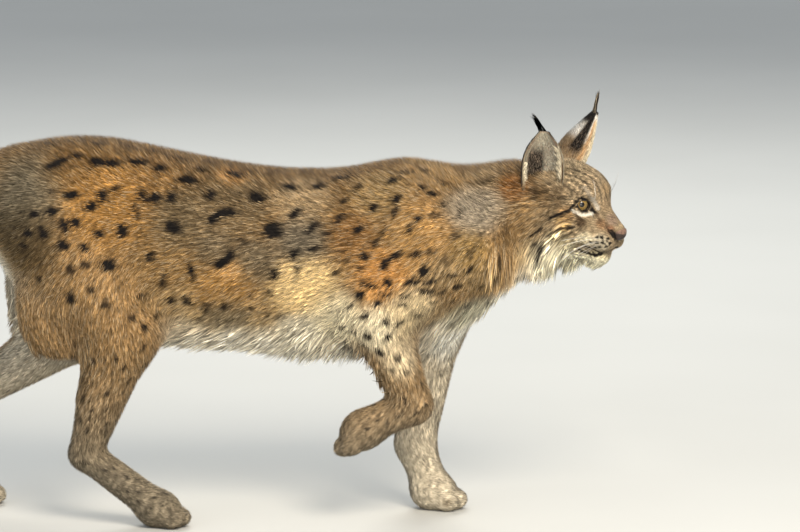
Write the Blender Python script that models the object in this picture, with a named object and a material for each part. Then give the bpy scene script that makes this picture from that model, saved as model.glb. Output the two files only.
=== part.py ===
"""Eurasian lynx, life size, walking: three paws on the ground and the right forepaw lifted.

Metres, +Z up, +X towards the nose, the animal's left side at +Y.
The body is one smooth form, a blend of named muscles and limbs, out to the tips of the coat.
Each named part is cut out of that form by flat planes, with a thin gap between neighbours.
Long fur grows from its part as flat tapered locks: cheek ruff, ear tufts, throat, chest, belly,
backs of the legs and tail.
"""
import math
import random

import bmesh
import bpy
import numpy as np
from mathutils import Matrix, Vector

# Gap that touching pieces keep.
GAP = 0.0003
# From the body's own frame to the part's, whose origin is under the middle of the whole.
BODY_SHIFT = Vector((0.2100, -0.0005, 0.0))

# The back, the belly and the half width of the trunk and neck, at stations along the body.
TRUNK = {
    "along": (-0.615, -0.600, -0.570, -0.520, -0.470, -0.420, -0.360, -0.290, -0.220, -0.145,
              -0.070, -0.030, 0.007, 0.045, 0.090, 0.125, 0.155, 0.185, 0.220),
    "back": (0.490, 0.515, 0.541, 0.556, 0.562, 0.560, 0.549, 0.534, 0.521, 0.514,
             0.517, 0.525, 0.530, 0.526, 0.521, 0.523, 0.528, 0.526, 0.508),
    "belly": (0.430, 0.400, 0.355, 0.305, 0.278, 0.260, 0.246, 0.238, 0.235, 0.231,
              0.232, 0.236, 0.243, 0.252, 0.268, 0.298, 0.335, 0.360, 0.385),
    "half_width": (0.030, 0.052, 0.076, 0.094, 0.102, 0.105, 0.106, 0.107, 0.108, 0.108,
                   0.106, 0.103, 0.100, 0.096, 0.090, 0.084, 0.078, 0.071, 0.058),
}
TRUNK_SQUARENESS = 2.15

# Head: the point between the eyes, its turn to the right and its nod, in degrees.
HEAD_POINT = Vector((0.277, -0.041, 0.4667))
HEAD_TURN = 27.0
HEAD_NOD = 10.0
# Forms of the head in its own frame: centre, radii and the length over which each melts in.
SKULL = ((-0.046, 0, 0.006), (0.055, 0.052, 0.050))
FOREHEAD = ((-0.008, 0, 0.010), (0.032, 0.036, 0.034), 0.020)
BROW = ((-0.002, 0.025, 0.019), (0.014, 0.014, 0.008), 0.010)
CHEEKBONE = ((-0.018, 0.038, -0.026), (0.034, 0.023, 0.028), 0.020)
JOWL = ((-0.034, 0.036, -0.050), (0.034, 0.024, 0.030), 0.020)
SNOUT = ((0.014, 0.020, -0.038), (0.028, 0.017, 0.022), 0.010)
WHISKER_PAD = ((0.0315, 0.0135, -0.048), (0.0215, 0.0170, 0.0160), 0.007)
NOSE_TIP = ((0.0518, 0, -0.033), (0.0075, 0.0115, 0.0095), 0.005)
CHIN = ((0.026, 0, -0.073), (0.0155, 0.0165, 0.0150), 0.008)
CHEEK_RUFF = ((-0.050, 0.046, -0.046), (0.034, 0.020, 0.048), 0.018)
JAW_RUFF = ((-0.036, 0.047, -0.074), (0.020, 0.012, 0.022), 0.014)
# Rods of the head: two ends with their radii.
NOSE_BRIDGE = (((0.004, 0, -0.008), 0.0225), ((0.045, 0, -0.029), 0.0120))
JAW = (((-0.020, 0, -0.062), 0.0260), ((0.020, 0, -0.068), 0.0170))
# Eyes in the head's frame, and how far each looks outwards, in degrees.
EYE_BACK = -0.007
EYE_APART = 0.025
EYE_RADIUS = 0.0124
EYE_SPREAD = 28.0
LID_THICK = 0.0022
# The hollow in front of each eye, in the head's frame.
EYE_HOLLOW = (0.0090, 0.0360, -0.0015)
EYE_HOLLOW_RADII = (0.0165, 0.0160, 0.0140)
LID_LENGTH = 0.0122
LID_HEIGHT = 0.0080
LID_SLANT = 16.0
LID_POINTS = 16
# The opening between the lids widens outwards: reach from the eye's middle, and scale there.
LID_RINGS = ((0.003, 0.85), (0.026, 1.45))
SOCKET_SCALE = 1.065

# Mouth: sweep of its line to each side, in degrees, and the steps along it.
MOUTH_SWEEP = 84.0
MOUTH_STEPS = 14
# Its wedge: middle, reach ahead and out at the inner and the outer edge, opening up and down.
MOUTH_MIDDLE = 0.002
MOUTH_INNER = (0.0330, 0.0215)
MOUTH_OUTER = (0.0620, 0.0400)
MOUTH_OPENING = (0.0022, 0.0016)
# Its height in front, and how it sags to the side and rises again to the corner.
MOUTH_LINE = (-0.0612, -0.0230, 0.0195)

# Legs: joints from the top down as (x, y, z), and the radius at each.
RIGHT_FORELEG = (((0.020, -0.052, 0.450), 0.050), ((0.100, -0.058, 0.395), 0.058),
                 ((-0.036, -0.078, 0.322), 0.049), ((0.019, -0.072, 0.176), 0.029))
LEFT_FORELEG = (((0.030, 0.052, 0.450), 0.050), ((0.105, 0.056, 0.390), 0.058),
                ((0.048, 0.060, 0.278), 0.049), ((0.022, 0.042, 0.096), 0.030))
RIGHT_HIND_LEG = (((-0.500, -0.050, 0.440), 0.078), ((-0.400, -0.082, 0.285), 0.054),
                  ((-0.455, -0.080, 0.105), 0.025))
LEFT_HIND_LEG = (((-0.510, 0.050, 0.440), 0.078), ((-0.455, 0.082, 0.275), 0.055),
                 ((-0.640, 0.075, 0.155), 0.026))
# Thighs: centre, radii and lean in degrees.
RIGHT_THIGH = ((-0.462, -0.062, 0.355), (0.086, 0.046, 0.125), 28.0)
LEFT_THIGH = ((-0.492, 0.062, 0.355), (0.086, 0.046, 0.125), 14.0)
# Paws: wrist or hock, ball of the foot, the way the toes point, radius above and size.
PAWS = {
    "right_forepaw": ((0.019, -0.072, 0.176), (-0.052, -0.074, 0.142), (-0.91, -0.02, -0.41),
                      0.0285, 1.0),
    "left_forepaw": ((0.022, 0.042, 0.096), (0.046, 0.038, 0.0285), (0.99, -0.08, -0.05),
                     0.0295, 1.0),
    "right_hind_paw": ((-0.455, -0.080, 0.105), (-0.352, -0.086, 0.0275), (0.99, -0.04, -0.06),
                       0.0240, 0.95),
    "left_hind_paw": ((-0.640, 0.075, 0.155), (-0.628, 0.072, 0.0290), (0.98, 0.04, -0.10),
                      0.0240, 0.95),
}
TOE_PLACES = ((-0.0255, 0.024), (-0.0090, 0.034), (0.0090, 0.034), (0.0255, 0.024))
TOE_RADII = (0.0210, 0.0112, 0.0165)

TAIL = (((-0.575, 0.0, 0.485), 0.048), ((-0.640, 0.002, 0.462), 0.038),
        ((-0.690, 0.004, 0.410), 0.034), ((-0.712, 0.005, 0.350), 0.031),
        ((-0.714, 0.005, 0.318), 0.022))

# Nose leather in the head's frame: points of its rear, under and side planes, and ways into it.
NOSE_REAR = ((0.0500, 0, -0.034), (0.97, 0, 0.24))
NOSE_UNDER = ((0.0560, 0, -0.0435), (0.25, 0, 0.97))
NOSE_SIDE = ((0.0560, 0.0118, -0.0400), (0.10, -0.93, 0.36))
NOSE_MIDDLE = (0.056, 0, -0.034)
NOSE_REACH = 0.022
# Nostrils: place, radii and turn outwards.
NOSTRIL = ((0.0600, 0.0062, -0.0360), (0.0045, 0.0028, 0.0019), 0.7)

# Ears: root, tip and the way the cup faces.
RIGHT_EAR = ((0.2035, -0.0620, 0.4860), (0.2070, -0.0660, 0.5740), (-0.10, -1.00, 0.10))
LEFT_EAR = ((0.2420, 0.0160, 0.5100), (0.2840, 0.0230, 0.5900), (0.80, 0.60, -0.10))
EAR_THICK = 0.0036
# Outline and hollow of an ear: share of its height, half width, depth of the cup.
EAR_FORM = ((0.00, 0.0235, 0.0260), (0.15, 0.0275, 0.0250), (0.35, 0.0292, 0.0200),
            (0.50, 0.0285, 0.0155), (0.65, 0.0245, 0.0110), (0.80, 0.0175, 0.0060),
            (0.92, 0.0095, 0.0025), (1.00, 0.0040, 0.0010))
# How far the foot of the ear is sunk into the head, and the faces up and across the leaf.
EAR_SEAT = 0.012
EAR_ROWS, EAR_COLUMNS = 9, 8
EAR_THINNING = 0.45
# Tufts: lean, length, how far below and behind the tip they start, width and thickness.
RIGHT_TUFT_LEAN = (-0.60, -0.06, 0.79)
LEFT_TUFT_LEAN = (0.06, 0.02, 1.00)
TUFT_LENGTH = 0.036
TUFT_SEAT = (0.014, 0.0062)
TUFT_LOCK = (0.0070, 0.0046)
# Locks of a tuft: spread across it and share of its length.
TUFT_LOCKS = ((-0.16, 0.80), (0.0, 1.0), (0.15, 0.88))

# Locks: length, width and thickness, how far the root is sunk and how far the lock lifts.
RUFF_LOCK = (0.043, 0.0175, 0.0050, 0.0065, 0.08)
CHIN_LOCK = (0.017, 0.0095, 0.0038, 0.0045, 0.10)
FRINGE_LOCK = (0.046, 0.0230, 0.0056, 0.0070, 0.06)
LEG_LOCK = (0.036, 0.0175, 0.0050, 0.0065, 0.05)
TAIL_LOCK = (0.050, 0.0200, 0.0064, 0.0090, 0.08)
# How far the belly's core lies above the tips of its fringe.
FRINGE_RISE = 0.009
# Rows of the ruff in the head's frame: roots from the ear down to the jaw, and the lie.
RUFF_ROWS = (
    (((-0.070, 0.052, -0.004), (-0.070, 0.062, -0.042), (-0.050, 0.062, -0.066)), 5,
     (-0.42, 0.30, -0.86)),
    (((-0.060, 0.058, -0.040), (-0.050, 0.062, -0.072), (-0.026, 0.056, -0.082)), 6,
     (-0.18, 0.16, -0.97)),
    (((-0.062, 0.046, -0.074), (-0.042, 0.050, -0.094), (-0.018, 0.044, -0.088)), 6,
     (-0.05, 0.02, -1.00)),
    (((-0.036, 0.066, -0.050), (-0.018, 0.056, -0.064), (-0.008, 0.046, -0.076)), 4,
     (-0.10, 0.10, -0.99)),
)
# Roots under the chin in the head's frame: ahead and out, at one height.
CHIN_ROOTS = ((0.032, -0.006), (0.030, 0.006), (0.020, -0.012), (0.020, 0.000), (0.020, 0.012),
              (0.006, -0.014), (0.006, 0.014), (-0.006, 0.000))
CHIN_ROOT_HEIGHT = -0.092
# Belly fringe: rows across, roots in a row, its front end and the step along the body.
FRINGE_ROWS = (-0.070, -0.042, -0.014, 0.014, 0.042, 0.070)
FRINGE_COUNT = 7
FRINGE_FRONT = -0.115
FRINGE_STEP = 0.030
FRINGE_HEIGHTS = (0.232, 0.262)
# Roots between the hind legs: the first, the step along the body and the height.
GROIN_ROOTS = (-0.345, -0.028, 0.250)
# Roots of the breast: along the body and up.
CHEST_ROOTS = ((0.128, 0.305), (0.112, 0.288), (0.096, 0.272), (0.070, 0.258), (0.036, 0.246),
               (0.000, 0.240), (-0.040, 0.236), (-0.075, 0.234))
# Rows of the throat: along the body and up, and the roots across each.
THROAT_ROWS = ((0.205, 0.362), (0.190, 0.352), (0.172, 0.340))
THROAT_OUT = (-0.056, -0.028, 0.0, 0.028)
# Back edge of each upper leg, from the top down, and how far to each side its locks stand.
LEG_EDGES = {
    "right_foreleg": ((-0.086, -0.080, 0.322), (-0.060, -0.080, 0.262), (-0.032, -0.077, 0.222)),
    "left_foreleg": ((-0.005, 0.062, 0.282), (0.000, 0.058, 0.240), (0.000, 0.052, 0.180)),
    "right_hind_leg": ((-0.570, -0.075, 0.400), (-0.535, -0.080, 0.310), (-0.490, -0.080, 0.210)),
    "left_hind_leg": ((-0.590, 0.075, 0.390), (-0.585, 0.085, 0.320), (-0.605, 0.082, 0.235)),
}
LEG_LOCK_OUT = (-0.010, 0.012)
LEG_LOCK_COUNT = 5
# Rings of locks round the tail: middle along the body, height and radius.
TAIL_RINGS = ((-0.688, 0.412, 0.036), (-0.708, 0.368, 0.033), (-0.713, 0.328, 0.028))
TAIL_RING_COUNT = 6
TAIL_MIDDLE = 0.005

# Cuts: a point of each plane and its normal, which points to the piece named.
HEAD_CUT = (Vector((0.1936, 0.0015, 0.4832)), Vector((0.880, -0.450, 0.140)).normalized())
NECK_CUT = (Vector((0.0750, 0.0, 0.5250)), Vector((0.874, 0.0, 0.486)).normalized())
TAIL_CUT = (Vector((-0.6250, 0.0, 0.4680)), Vector((-0.940, 0.0, -0.340)).normalized())
# How far each leg's inner face stands from the middle, at belly height.
INNER_FACE = 0.009
INNER_FACE_HEIGHT = 0.240
# Rear, top and front of each leg.
FORELEG_REAR = (Vector((-0.094, 0, 0.300)), Vector((1, 0, 0.05)).normalized())
FORELEG_TOP = (Vector((-0.094, 0, 0.335)), Vector((0.447, 0, -0.894)).normalized())
HIND_REAR = {-1: (Vector((-0.603, 0, 0.440)), Vector((1, 0, -0.10)).normalized()),
             1: (Vector((-0.606, 0, 0.440)), Vector((0.95, 0, -0.32)).normalized())}
HIND_TOP = (Vector((-0.50, 0, 0.440)), Vector((0.16, 0, -0.987)).normalized())
HIND_FRONT = {-1: (Vector((-0.370, 0, 0.420)), Vector((-0.970, 0, -0.243)).normalized()),
              1: (Vector((-0.385, 0, 0.420)), Vector((-0.999, 0, 0.020)).normalized())}
# Cuts across the wrist and the hock: normals point to the paw.
PAW_CUT = {
    "right_forepaw": (Vector((0.019, -0.072, 0.176)), Vector((-0.362, 0.0, -0.932)).normalized()),
    "left_forepaw": (Vector((0.022, 0.042, 0.092)), Vector((0.10, 0.0, -0.995)).normalized()),
    "right_hind_paw": (Vector((-0.452, -0.080, 0.108)), Vector((0.42, 0.0, -0.907)).normalized()),
    "left_hind_paw": (Vector((-0.640, 0.075, 0.150)), Vector((-0.25, 0.0, -0.968)).normalized()),
}
LEG_OF_PAW = {"right_forepaw": "right_foreleg", "left_forepaw": "left_foreleg",
              "right_hind_paw": "right_hind_leg", "left_hind_paw": "left_hind_leg"}
FLOOR_CUT = (Vector((0, 0, 0)), Vector((0, 0, 1)))
# Boxes that hold each part, from the lowest to the highest corner.
LEG_BOX = {
    "right_foreleg": ((-0.110, -0.150, 0.120), (0.200, -0.002, 0.480)),
    "left_foreleg": ((-0.110, 0.002, 0.050), (0.200, 0.150, 0.480)),
    "right_hind_leg": ((-0.640, -0.150, 0.060), (-0.270, -0.002, 0.480)),
    "left_hind_leg": ((-0.700, 0.002, 0.110), (-0.330, 0.150, 0.480)),
}
PAW_BOX = {
    "right_forepaw": ((-0.135, -0.125, 0.090), (0.060, -0.010, 0.215)),
    "left_forepaw": ((-0.030, -0.010, -0.016), (0.125, 0.090, 0.120)),
    "right_hind_paw": ((-0.500, -0.135, -0.016), (-0.270, -0.035, 0.150)),
    "left_hind_paw": ((-0.685, 0.030, -0.016), (-0.545, 0.120, 0.180)),
}
TORSO_BOX = ((-0.660, -0.150, 0.180), (0.260, 0.150, 0.590))
NECK_BOX = ((0.050, -0.150, 0.260), (0.290, 0.130, 0.590))
TAIL_BOX = ((-0.770, -0.062, 0.286), (-0.590, 0.066, 0.540))
HEAD_BOX = ((0.140, -0.150, 0.325), (0.360, 0.120, 0.560))
# Size of the grid's cells and number of triangles, before the cuts and the locks.
TORSO_DETAIL = (0.009, 2000)
NECK_DETAIL = (0.007, 900)
TAIL_DETAIL = (0.006, 420)
HEAD_DETAIL = (0.0032, 3100)
LEG_DETAIL = (0.007, 760)
PAW_DETAIL = (0.004, 540)
NOSE_DETAIL = (0.0012, 420)


def smooth_min(first, second, blend):
    """Union of two forms that melt into each other over the blend length."""
    share = np.clip(0.5 + 0.5 * (second - first) / blend, 0.0, 1.0)
    return second + (first - second) * share - blend * share * (1.0 - share)


def curve_through(x, stations, values):
    """Smooth curve through values at stations, held flat past both ends."""
    stations, values = np.asarray(stations), np.asarray(values)
    slopes = np.gradient(values, stations)
    x = np.clip(x, stations[0], stations[-1])
    i = np.clip(np.searchsorted(stations, x) - 1, 0, len(stations) - 2)
    step = stations[i + 1] - stations[i]
    t = (x - stations[i]) / step
    return ((2 * t**3 - 3 * t**2 + 1) * values[i] + (t**3 - 2 * t**2 + t) * step * slopes[i]
            + (3 * t**2 - 2 * t**3) * values[i + 1] + (t**3 - t**2) * step * slopes[i + 1])


def ball(p, centre, radii, turn=None):
    """Ellipsoid with its own radii, turned by a 3 x 3 matrix of its axes as columns."""
    q = p - np.asarray(centre)
    if turn is not None:
        q = q @ turn
    radii = np.asarray(radii, float)
    near = np.linalg.norm(q / radii, axis=1)
    steep = np.linalg.norm(q / radii**2, axis=1)
    return near * (near - 1.0) / np.maximum(steep, 1e-9)


def limb(p, joints, blend=0.02):
    """Chain of tapered rods from joint to joint."""
    form = None
    for (start, r_start), (end, r_end) in zip(joints, joints[1:]):
        start, end = np.asarray(start), np.asarray(end)
        along = end - start
        share = np.clip((p - start) @ along / (along @ along), 0.0, 1.0)
        away = p - start - share[:, None] * along
        rod = np.linalg.norm(away, axis=1) - (r_start + (r_end - r_start) * share)
        form = rod if form is None else smooth_min(form, rod, blend)
    return form


def trunk(p):
    """Trunk and neck, lofted through the stations."""
    along = TRUNK["along"]
    back = curve_through(p[:, 0], along, TRUNK["back"])
    belly = curve_through(p[:, 0], along, TRUNK["belly"]) + fringe_rise(p[:, 0])
    wide = curve_through(p[:, 0], along, TRUNK["half_width"])
    high = (back - belly) / 2
    up = np.abs(p[:, 2] - (back + belly) / 2) / high
    out = np.abs(p[:, 1] + neck_sway(p[:, 0])) / wide
    ring = (up**TRUNK_SQUARENESS + out**TRUNK_SQUARENESS) ** (1 / TRUNK_SQUARENESS)
    side = (ring - 1.0) * np.minimum(wide, high)
    past = np.maximum(along[0] - p[:, 0], p[:, 0] - along[-1])
    return np.where(past > 0, np.hypot(np.maximum(side, 0), np.maximum(past, 0)), side)


def fringe_rise(x):
    """How far the belly's core is drawn up under its fringe."""
    behind = np.clip((x + 0.46) / 0.08, 0.0, 1.0)
    ahead = np.clip((0.16 - x) / 0.08, 0.0, 1.0)
    return FRINGE_RISE * behind * ahead


def neck_sway(x):
    """How far the neck bends to the right as it nears the turned head."""
    return 0.016 * np.clip((x - 0.10) / 0.12, 0.0, 1.0) ** 2


def head_axes():
    """The head's own axes as columns: forward, left and up."""
    turn = Matrix.Rotation(math.radians(-HEAD_TURN), 3, "Z")
    nod = Matrix.Rotation(math.radians(HEAD_NOD), 3, "Y")
    return np.array(turn @ nod)


def to_head(p):
    """Points in the head's own frame."""
    return (p - np.array(HEAD_POINT)) @ head_axes()


def from_head(point):
    """A point of the head's own frame, in the body's frame."""
    return Vector(np.array(HEAD_POINT) + head_axes() @ np.asarray(point, float))


def melted(form, p, spec):
    """The form with one more ellipsoid melted into it."""
    centre, radii, blend = spec
    return smooth_min(form, ball(p, centre, radii), blend)


def head_form(p):
    """Skull, brows, cheeks, muzzle, lips, chin, lids and ruff."""
    q = to_head(p)
    side = q * np.array([1.0, 0.0, 1.0]) + np.abs(q) * np.array([0.0, 1.0, 0.0])
    form = melted(ball(q, *SKULL), q, FOREHEAD)
    for spec in (BROW, CHEEKBONE, JOWL):
        form = melted(form, side, spec)
    form = smooth_min(form, limb(q, NOSE_BRIDGE), 0.012)
    form = melted(form, side, SNOUT)
    form = -smooth_min(-form, ball(side, EYE_HOLLOW, EYE_HOLLOW_RADII), 0.007)
    form = melted(form, side, WHISKER_PAD)
    form = melted(form, q, NOSE_TIP)
    form = smooth_min(form, limb(q, JAW), 0.014)
    form = melted(form, q, CHIN)
    form = smooth_min(form, eyelids(side), 0.006)
    for spec in (CHEEK_RUFF, JAW_RUFF):
        form = melted(form, side, spec)
    return form


def eyelids(side):
    """Lids as a round cover over each eyeball."""
    radius = EYE_RADIUS + LID_THICK
    return ball(side, (EYE_BACK, EYE_APART, 0), (radius, radius, radius))


def paw_axes(forward):
    """Axes of a paw as columns: toes, across, and the back of the foot."""
    toes = Vector(forward).normalized()
    across = Vector((0, 0, 1)).cross(toes).normalized()
    return np.array((toes, across, toes.cross(across))).T


def paw(p, name):
    """One foot: the bones from wrist or hock to the ball, the pad and four toes."""
    top, base, forward, radius, size = PAWS[name]
    axes = paw_axes(forward)
    form = limb(p, ((top, radius), (base, 0.0275 * size)))
    pad = ball(p, base + axes @ (0.004, 0, -0.003), np.array((0.036, 0.035, 0.029)) * size, axes)
    form = smooth_min(form, pad, 0.015)
    for out, ahead in TOE_PLACES:
        centre = base + axes @ (np.array((ahead, out, -0.0125)) * size)
        toe = ball(p, centre, np.array(TOE_RADII) * size, axes)
        form = smooth_min(form, toe, 0.0045)
    return form


def thigh(p, spec):
    """Broad muscle of the upper hind leg."""
    centre, radii, lean = spec
    return ball(p, centre, radii, np.array(Matrix.Rotation(math.radians(lean), 3, "Y")))


def legs(p):
    """All four legs with shoulders, thighs and paws."""
    fore_right = smooth_min(limb(p, RIGHT_FORELEG, 0.03), paw(p, "right_forepaw"), 0.015)
    fore_left = smooth_min(limb(p, LEFT_FORELEG, 0.03), paw(p, "left_forepaw"), 0.015)
    right = smooth_min(limb(p, RIGHT_HIND_LEG, 0.03), thigh(p, RIGHT_THIGH), 0.03)
    right = smooth_min(right, paw(p, "right_hind_paw"), 0.012)
    left = smooth_min(limb(p, LEFT_HIND_LEG, 0.03), thigh(p, LEFT_THIGH), 0.03)
    left = smooth_min(left, paw(p, "left_hind_paw"), 0.012)
    return np.minimum(np.minimum(fore_right, fore_left), np.minimum(right, left))


def lynx(p):
    """The whole animal's outer form: negative inside."""
    form = smooth_min(trunk(p), legs(p), 0.035)
    form = smooth_min(form, limb(p, TAIL), 0.03)
    return smooth_min(form, head_form(p), 0.022)


def surface(form, low, high, cell):
    """Points and quads of the surface where the form is zero, on a grid of cells in a box."""
    counts = [int(math.ceil((b - a) / cell)) + 1 for a, b in zip(low, high)]
    axes = [a + cell * np.arange(n) for a, n in zip(low, counts)]
    grid = np.stack(np.meshgrid(*axes, indexing="ij"), axis=-1)
    value = form(grid.reshape(-1, 3)).reshape(counts)
    for axis in range(3):
        for end in (0, -1):
            rim = [slice(None)] * 3
            rim[axis] = end
            value[tuple(rim)] = np.maximum(value[tuple(rim)], cell / 2)
    cells = [n - 1 for n in counts]
    total, hits, crossed = np.zeros((*cells, 3)), np.zeros(cells), []
    for axis in range(3):
        lower, upper = [slice(None)] * 3, [slice(None)] * 3
        lower[axis], upper[axis] = slice(0, -1), slice(1, None)
        a, b = value[tuple(lower)], value[tuple(upper)]
        change = (a < 0) != (b < 0)
        point = grid[tuple(lower)].copy()
        point[..., axis] += cell * np.where(change, a / np.where(change, a - b, 1.0), 0.0)
        crossed.append((change, a < 0))
        j, k = [other for other in range(3) if other != axis]
        for dj in (0, 1):
            for dk in (0, 1):
                part = [slice(None)] * 3
                part[j], part[k] = slice(dj, dj + cells[j]), slice(dk, dk + cells[k])
                total += np.where(change[tuple(part)][..., None], point[tuple(part)], 0.0)
                hits += change[tuple(part)]
    used = hits > 0
    number = -np.ones(cells, int)
    number[used] = np.arange(used.sum())
    quads = np.concatenate([grid_quads(axis, *crossed[axis], number) for axis in range(3)])
    return settle(total[used] / hits[used][:, None], form, cell), quads


def grid_quads(axis, change, inside, number):
    """Quads round the grid edges along one axis where the form changes sign."""
    j, k = (axis + 1) % 3, (axis + 2) % 3
    where = np.argwhere(change)
    limit = number.shape
    where = where[(where[:, j] > 0) & (where[:, k] > 0)
                  & (where[:, j] < limit[j]) & (where[:, k] < limit[k])]
    corners = []
    for dj, dk in ((1, 1), (0, 1), (0, 0), (1, 0)):
        at = where.copy()
        at[:, j] -= dj
        at[:, k] -= dk
        corners.append(number[tuple(at.T)])
    quad = np.stack(corners, axis=1)
    return np.where(inside[tuple(where.T)][:, None], quad, quad[:, ::-1])


def slope(points, form):
    """The form's slope at each point."""
    step = 0.0004
    value = form(points)
    return np.stack([form(points + step * axis) - value for axis in np.eye(3)], axis=1) / step


def settle(points, form, cell):
    """The points moved along the form's slope onto its surface."""
    for _ in range(2):
        rise = slope(points, form)
        move = -(form(points) / np.maximum((rise**2).sum(axis=1), 0.05))[:, None] * rise
        reach = np.linalg.norm(move, axis=1, keepdims=True)
        points = points + move * np.minimum(1.0, 0.4 * cell / np.maximum(reach, 1e-12))
    return points


def form_mesh(name, form, low, high, cell, triangles, planes=()):
    """Mesh of a form inside a box, thinned, then kept on the far side of each plane."""
    points, quads = surface(form, low, high, cell)
    mesh = bpy.data.meshes.new(name)
    mesh.from_pydata(points.tolist(), [], quads.tolist())
    thin_out(mesh, triangles)
    solid = bmesh.new()
    solid.from_mesh(mesh)
    for point, normal in planes:
        cut_flat(solid, Vector(point), Vector(normal).normalized())
    keep_largest(solid)
    bmesh.ops.triangulate(solid, faces=solid.faces)
    solid.to_mesh(mesh)
    solid.free()
    return mesh


def evaluated(holder, mesh):
    """The mesh as its holder's modifiers leave it; the holder is removed."""
    graph = bpy.context.evaluated_depsgraph_get()
    done = bpy.data.meshes.new_from_object(holder.evaluated_get(graph))
    bpy.data.objects.remove(holder)
    solid = bmesh.new()
    solid.from_mesh(done)
    bpy.data.meshes.remove(done)
    solid.to_mesh(mesh)
    solid.free()


def thin_out(mesh, triangles):
    """Fewer faces where the surface is plain."""
    holder = bpy.data.objects.new("holder", mesh)
    bpy.context.scene.collection.objects.link(holder)
    fewer = holder.modifiers.new("Fewer", "DECIMATE")
    fewer.ratio = min(1.0, triangles / (2 * len(mesh.polygons)))
    evaluated(holder, mesh)


def combine(mesh, tools, operation="DIFFERENCE", solver="EXACT"):
    """Joins the tools' meshes to the mesh, or cuts them out of it, in one Boolean."""
    holder = bpy.data.objects.new("holder", mesh)
    bpy.context.scene.collection.objects.link(holder)
    group = bpy.data.collections.new("tools")
    for tool in tools:
        group.objects.link(bpy.data.objects.new("tool", tool))
    joined = holder.modifiers.new("Joined", "BOOLEAN")
    joined.operand_type = "COLLECTION"
    joined.collection = group
    joined.operation = operation
    joined.solver = solver
    evaluated(holder, mesh)
    for tool in list(group.objects):
        bpy.data.objects.remove(tool)
    bpy.data.collections.remove(group)
    solid = bmesh.new()
    solid.from_mesh(mesh)
    bmesh.ops.remove_doubles(solid, verts=solid.verts, dist=1e-6)
    keep_largest(solid)
    bmesh.ops.triangulate(solid, faces=solid.faces)
    solid.to_mesh(mesh)
    solid.free()
    return mesh


def cut_flat(solid, point, normal):
    """Cuts off what lies behind a plane, opposite to its normal, and closes the cut."""
    snap = 0.0006
    for vert in solid.verts:
        away = (vert.co - point).dot(normal)
        if abs(away) < snap:
            vert.co -= away * normal
    geometry = solid.verts[:] + solid.edges[:] + solid.faces[:]
    cut = bmesh.ops.bisect_plane(solid, geom=geometry, dist=1e-5, plane_co=point,
                                 plane_no=normal, clear_inner=True)
    rim = [e for e in cut["geom_cut"] if isinstance(e, bmesh.types.BMEdge)]
    bmesh.ops.holes_fill(solid, edges=rim, sides=0)


def keep_largest(solid):
    """Keeps the largest closed surface only."""
    left, best = set(solid.verts), set()
    while left:
        seed = left.pop()
        found, front = {seed}, [seed]
        while front:
            for edge in front.pop().link_edges:
                for other in edge.verts:
                    if other not in found:
                        found.add(other)
                        front.append(other)
        left -= found
        if len(found) > len(best):
            best = found
    bmesh.ops.delete(solid, geom=[v for v in solid.verts if v not in best], context="VERTS")


def shifted(planes, amount):
    """Planes moved along their normals."""
    return [(Vector(point) + Vector(normal).normalized() * amount, normal)
            for point, normal in planes]


def flipped(plane):
    """The same plane with its normal turned round."""
    return plane[0], -plane[1]


def prism(planes, centre, size=1.2):
    """Closed block kept on the far side of each plane."""
    mesh = bpy.data.meshes.new("prism")
    solid = bmesh.new()
    bmesh.ops.create_cube(solid, size=size, matrix=Matrix.Translation(centre))
    for point, normal in planes:
        cut_flat(solid, Vector(point), Vector(normal).normalized())
    bmesh.ops.triangulate(solid, faces=solid.faces)
    solid.to_mesh(mesh)
    solid.free()
    return mesh


def leg_planes(side, rear, top, front):
    """Planes that bound a leg: inner face, rear, top and front. side is +1 on the left."""
    inner = (Vector((0, side * INNER_FACE, INNER_FACE_HEIGHT)),
             Vector((0, side * 0.99, -0.14)).normalized())
    return [inner, rear, top, front]


def leg_bounds(name):
    """The planes that bound one leg."""
    side = -1 if name.startswith("right") else 1
    if name.endswith("foreleg"):
        return leg_planes(side, FORELEG_REAR, FORELEG_TOP, flipped(NECK_CUT))
    return leg_planes(side, HIND_REAR[side], HIND_TOP, HIND_FRONT[side])


def paw_mesh(name):
    """One paw, flat underneath where it stands."""
    planes = shifted([PAW_CUT[name]], GAP / 2)
    if name != "right_forepaw":
        planes.append(FLOOR_CUT)
    return form_mesh(name, lynx, *PAW_BOX[name], *PAW_DETAIL, planes)


def leg_mesh(name, paw_name):
    """One leg from the shoulder or hip to its paw."""
    planes = shifted(leg_bounds(name) + [flipped(PAW_CUT[paw_name])], GAP / 2)
    mesh = form_mesh(name, lynx, *LEG_BOX[name], *LEG_DETAIL, planes)
    return with_locks(mesh, leg_locks(name), planes)


def torso_mesh():
    """The trunk between neck and tail, with a notch for each leg."""
    planes = shifted([flipped(NECK_CUT), flipped(TAIL_CUT)], GAP / 2)
    mesh = form_mesh("torso", lynx, *TORSO_BOX, *TORSO_DETAIL, planes)
    with_locks(mesh, belly_locks() + chest_locks(), planes)
    tools = []
    for name, (low, high) in LEG_BOX.items():
        middle = (Vector(low) + Vector(high)) / 2
        tools.append(prism(shifted(leg_bounds(name), -GAP / 2), middle))
    return combine(mesh, tools)


def neck_mesh():
    """The neck between the shoulders and the head."""
    planes = shifted([NECK_CUT, flipped(HEAD_CUT)], GAP / 2)
    mesh = form_mesh("neck", lynx, *NECK_BOX, *NECK_DETAIL, planes)
    return with_locks(mesh, throat_locks(), planes)


def tail_mesh():
    """The short tail that hangs behind the rump."""
    planes = shifted([TAIL_CUT, flipped(HIND_REAR[1])], GAP / 2)
    mesh = form_mesh("tail", lynx, *TAIL_BOX, *TAIL_DETAIL, planes)
    return with_locks(mesh, tail_locks(), planes)


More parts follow.
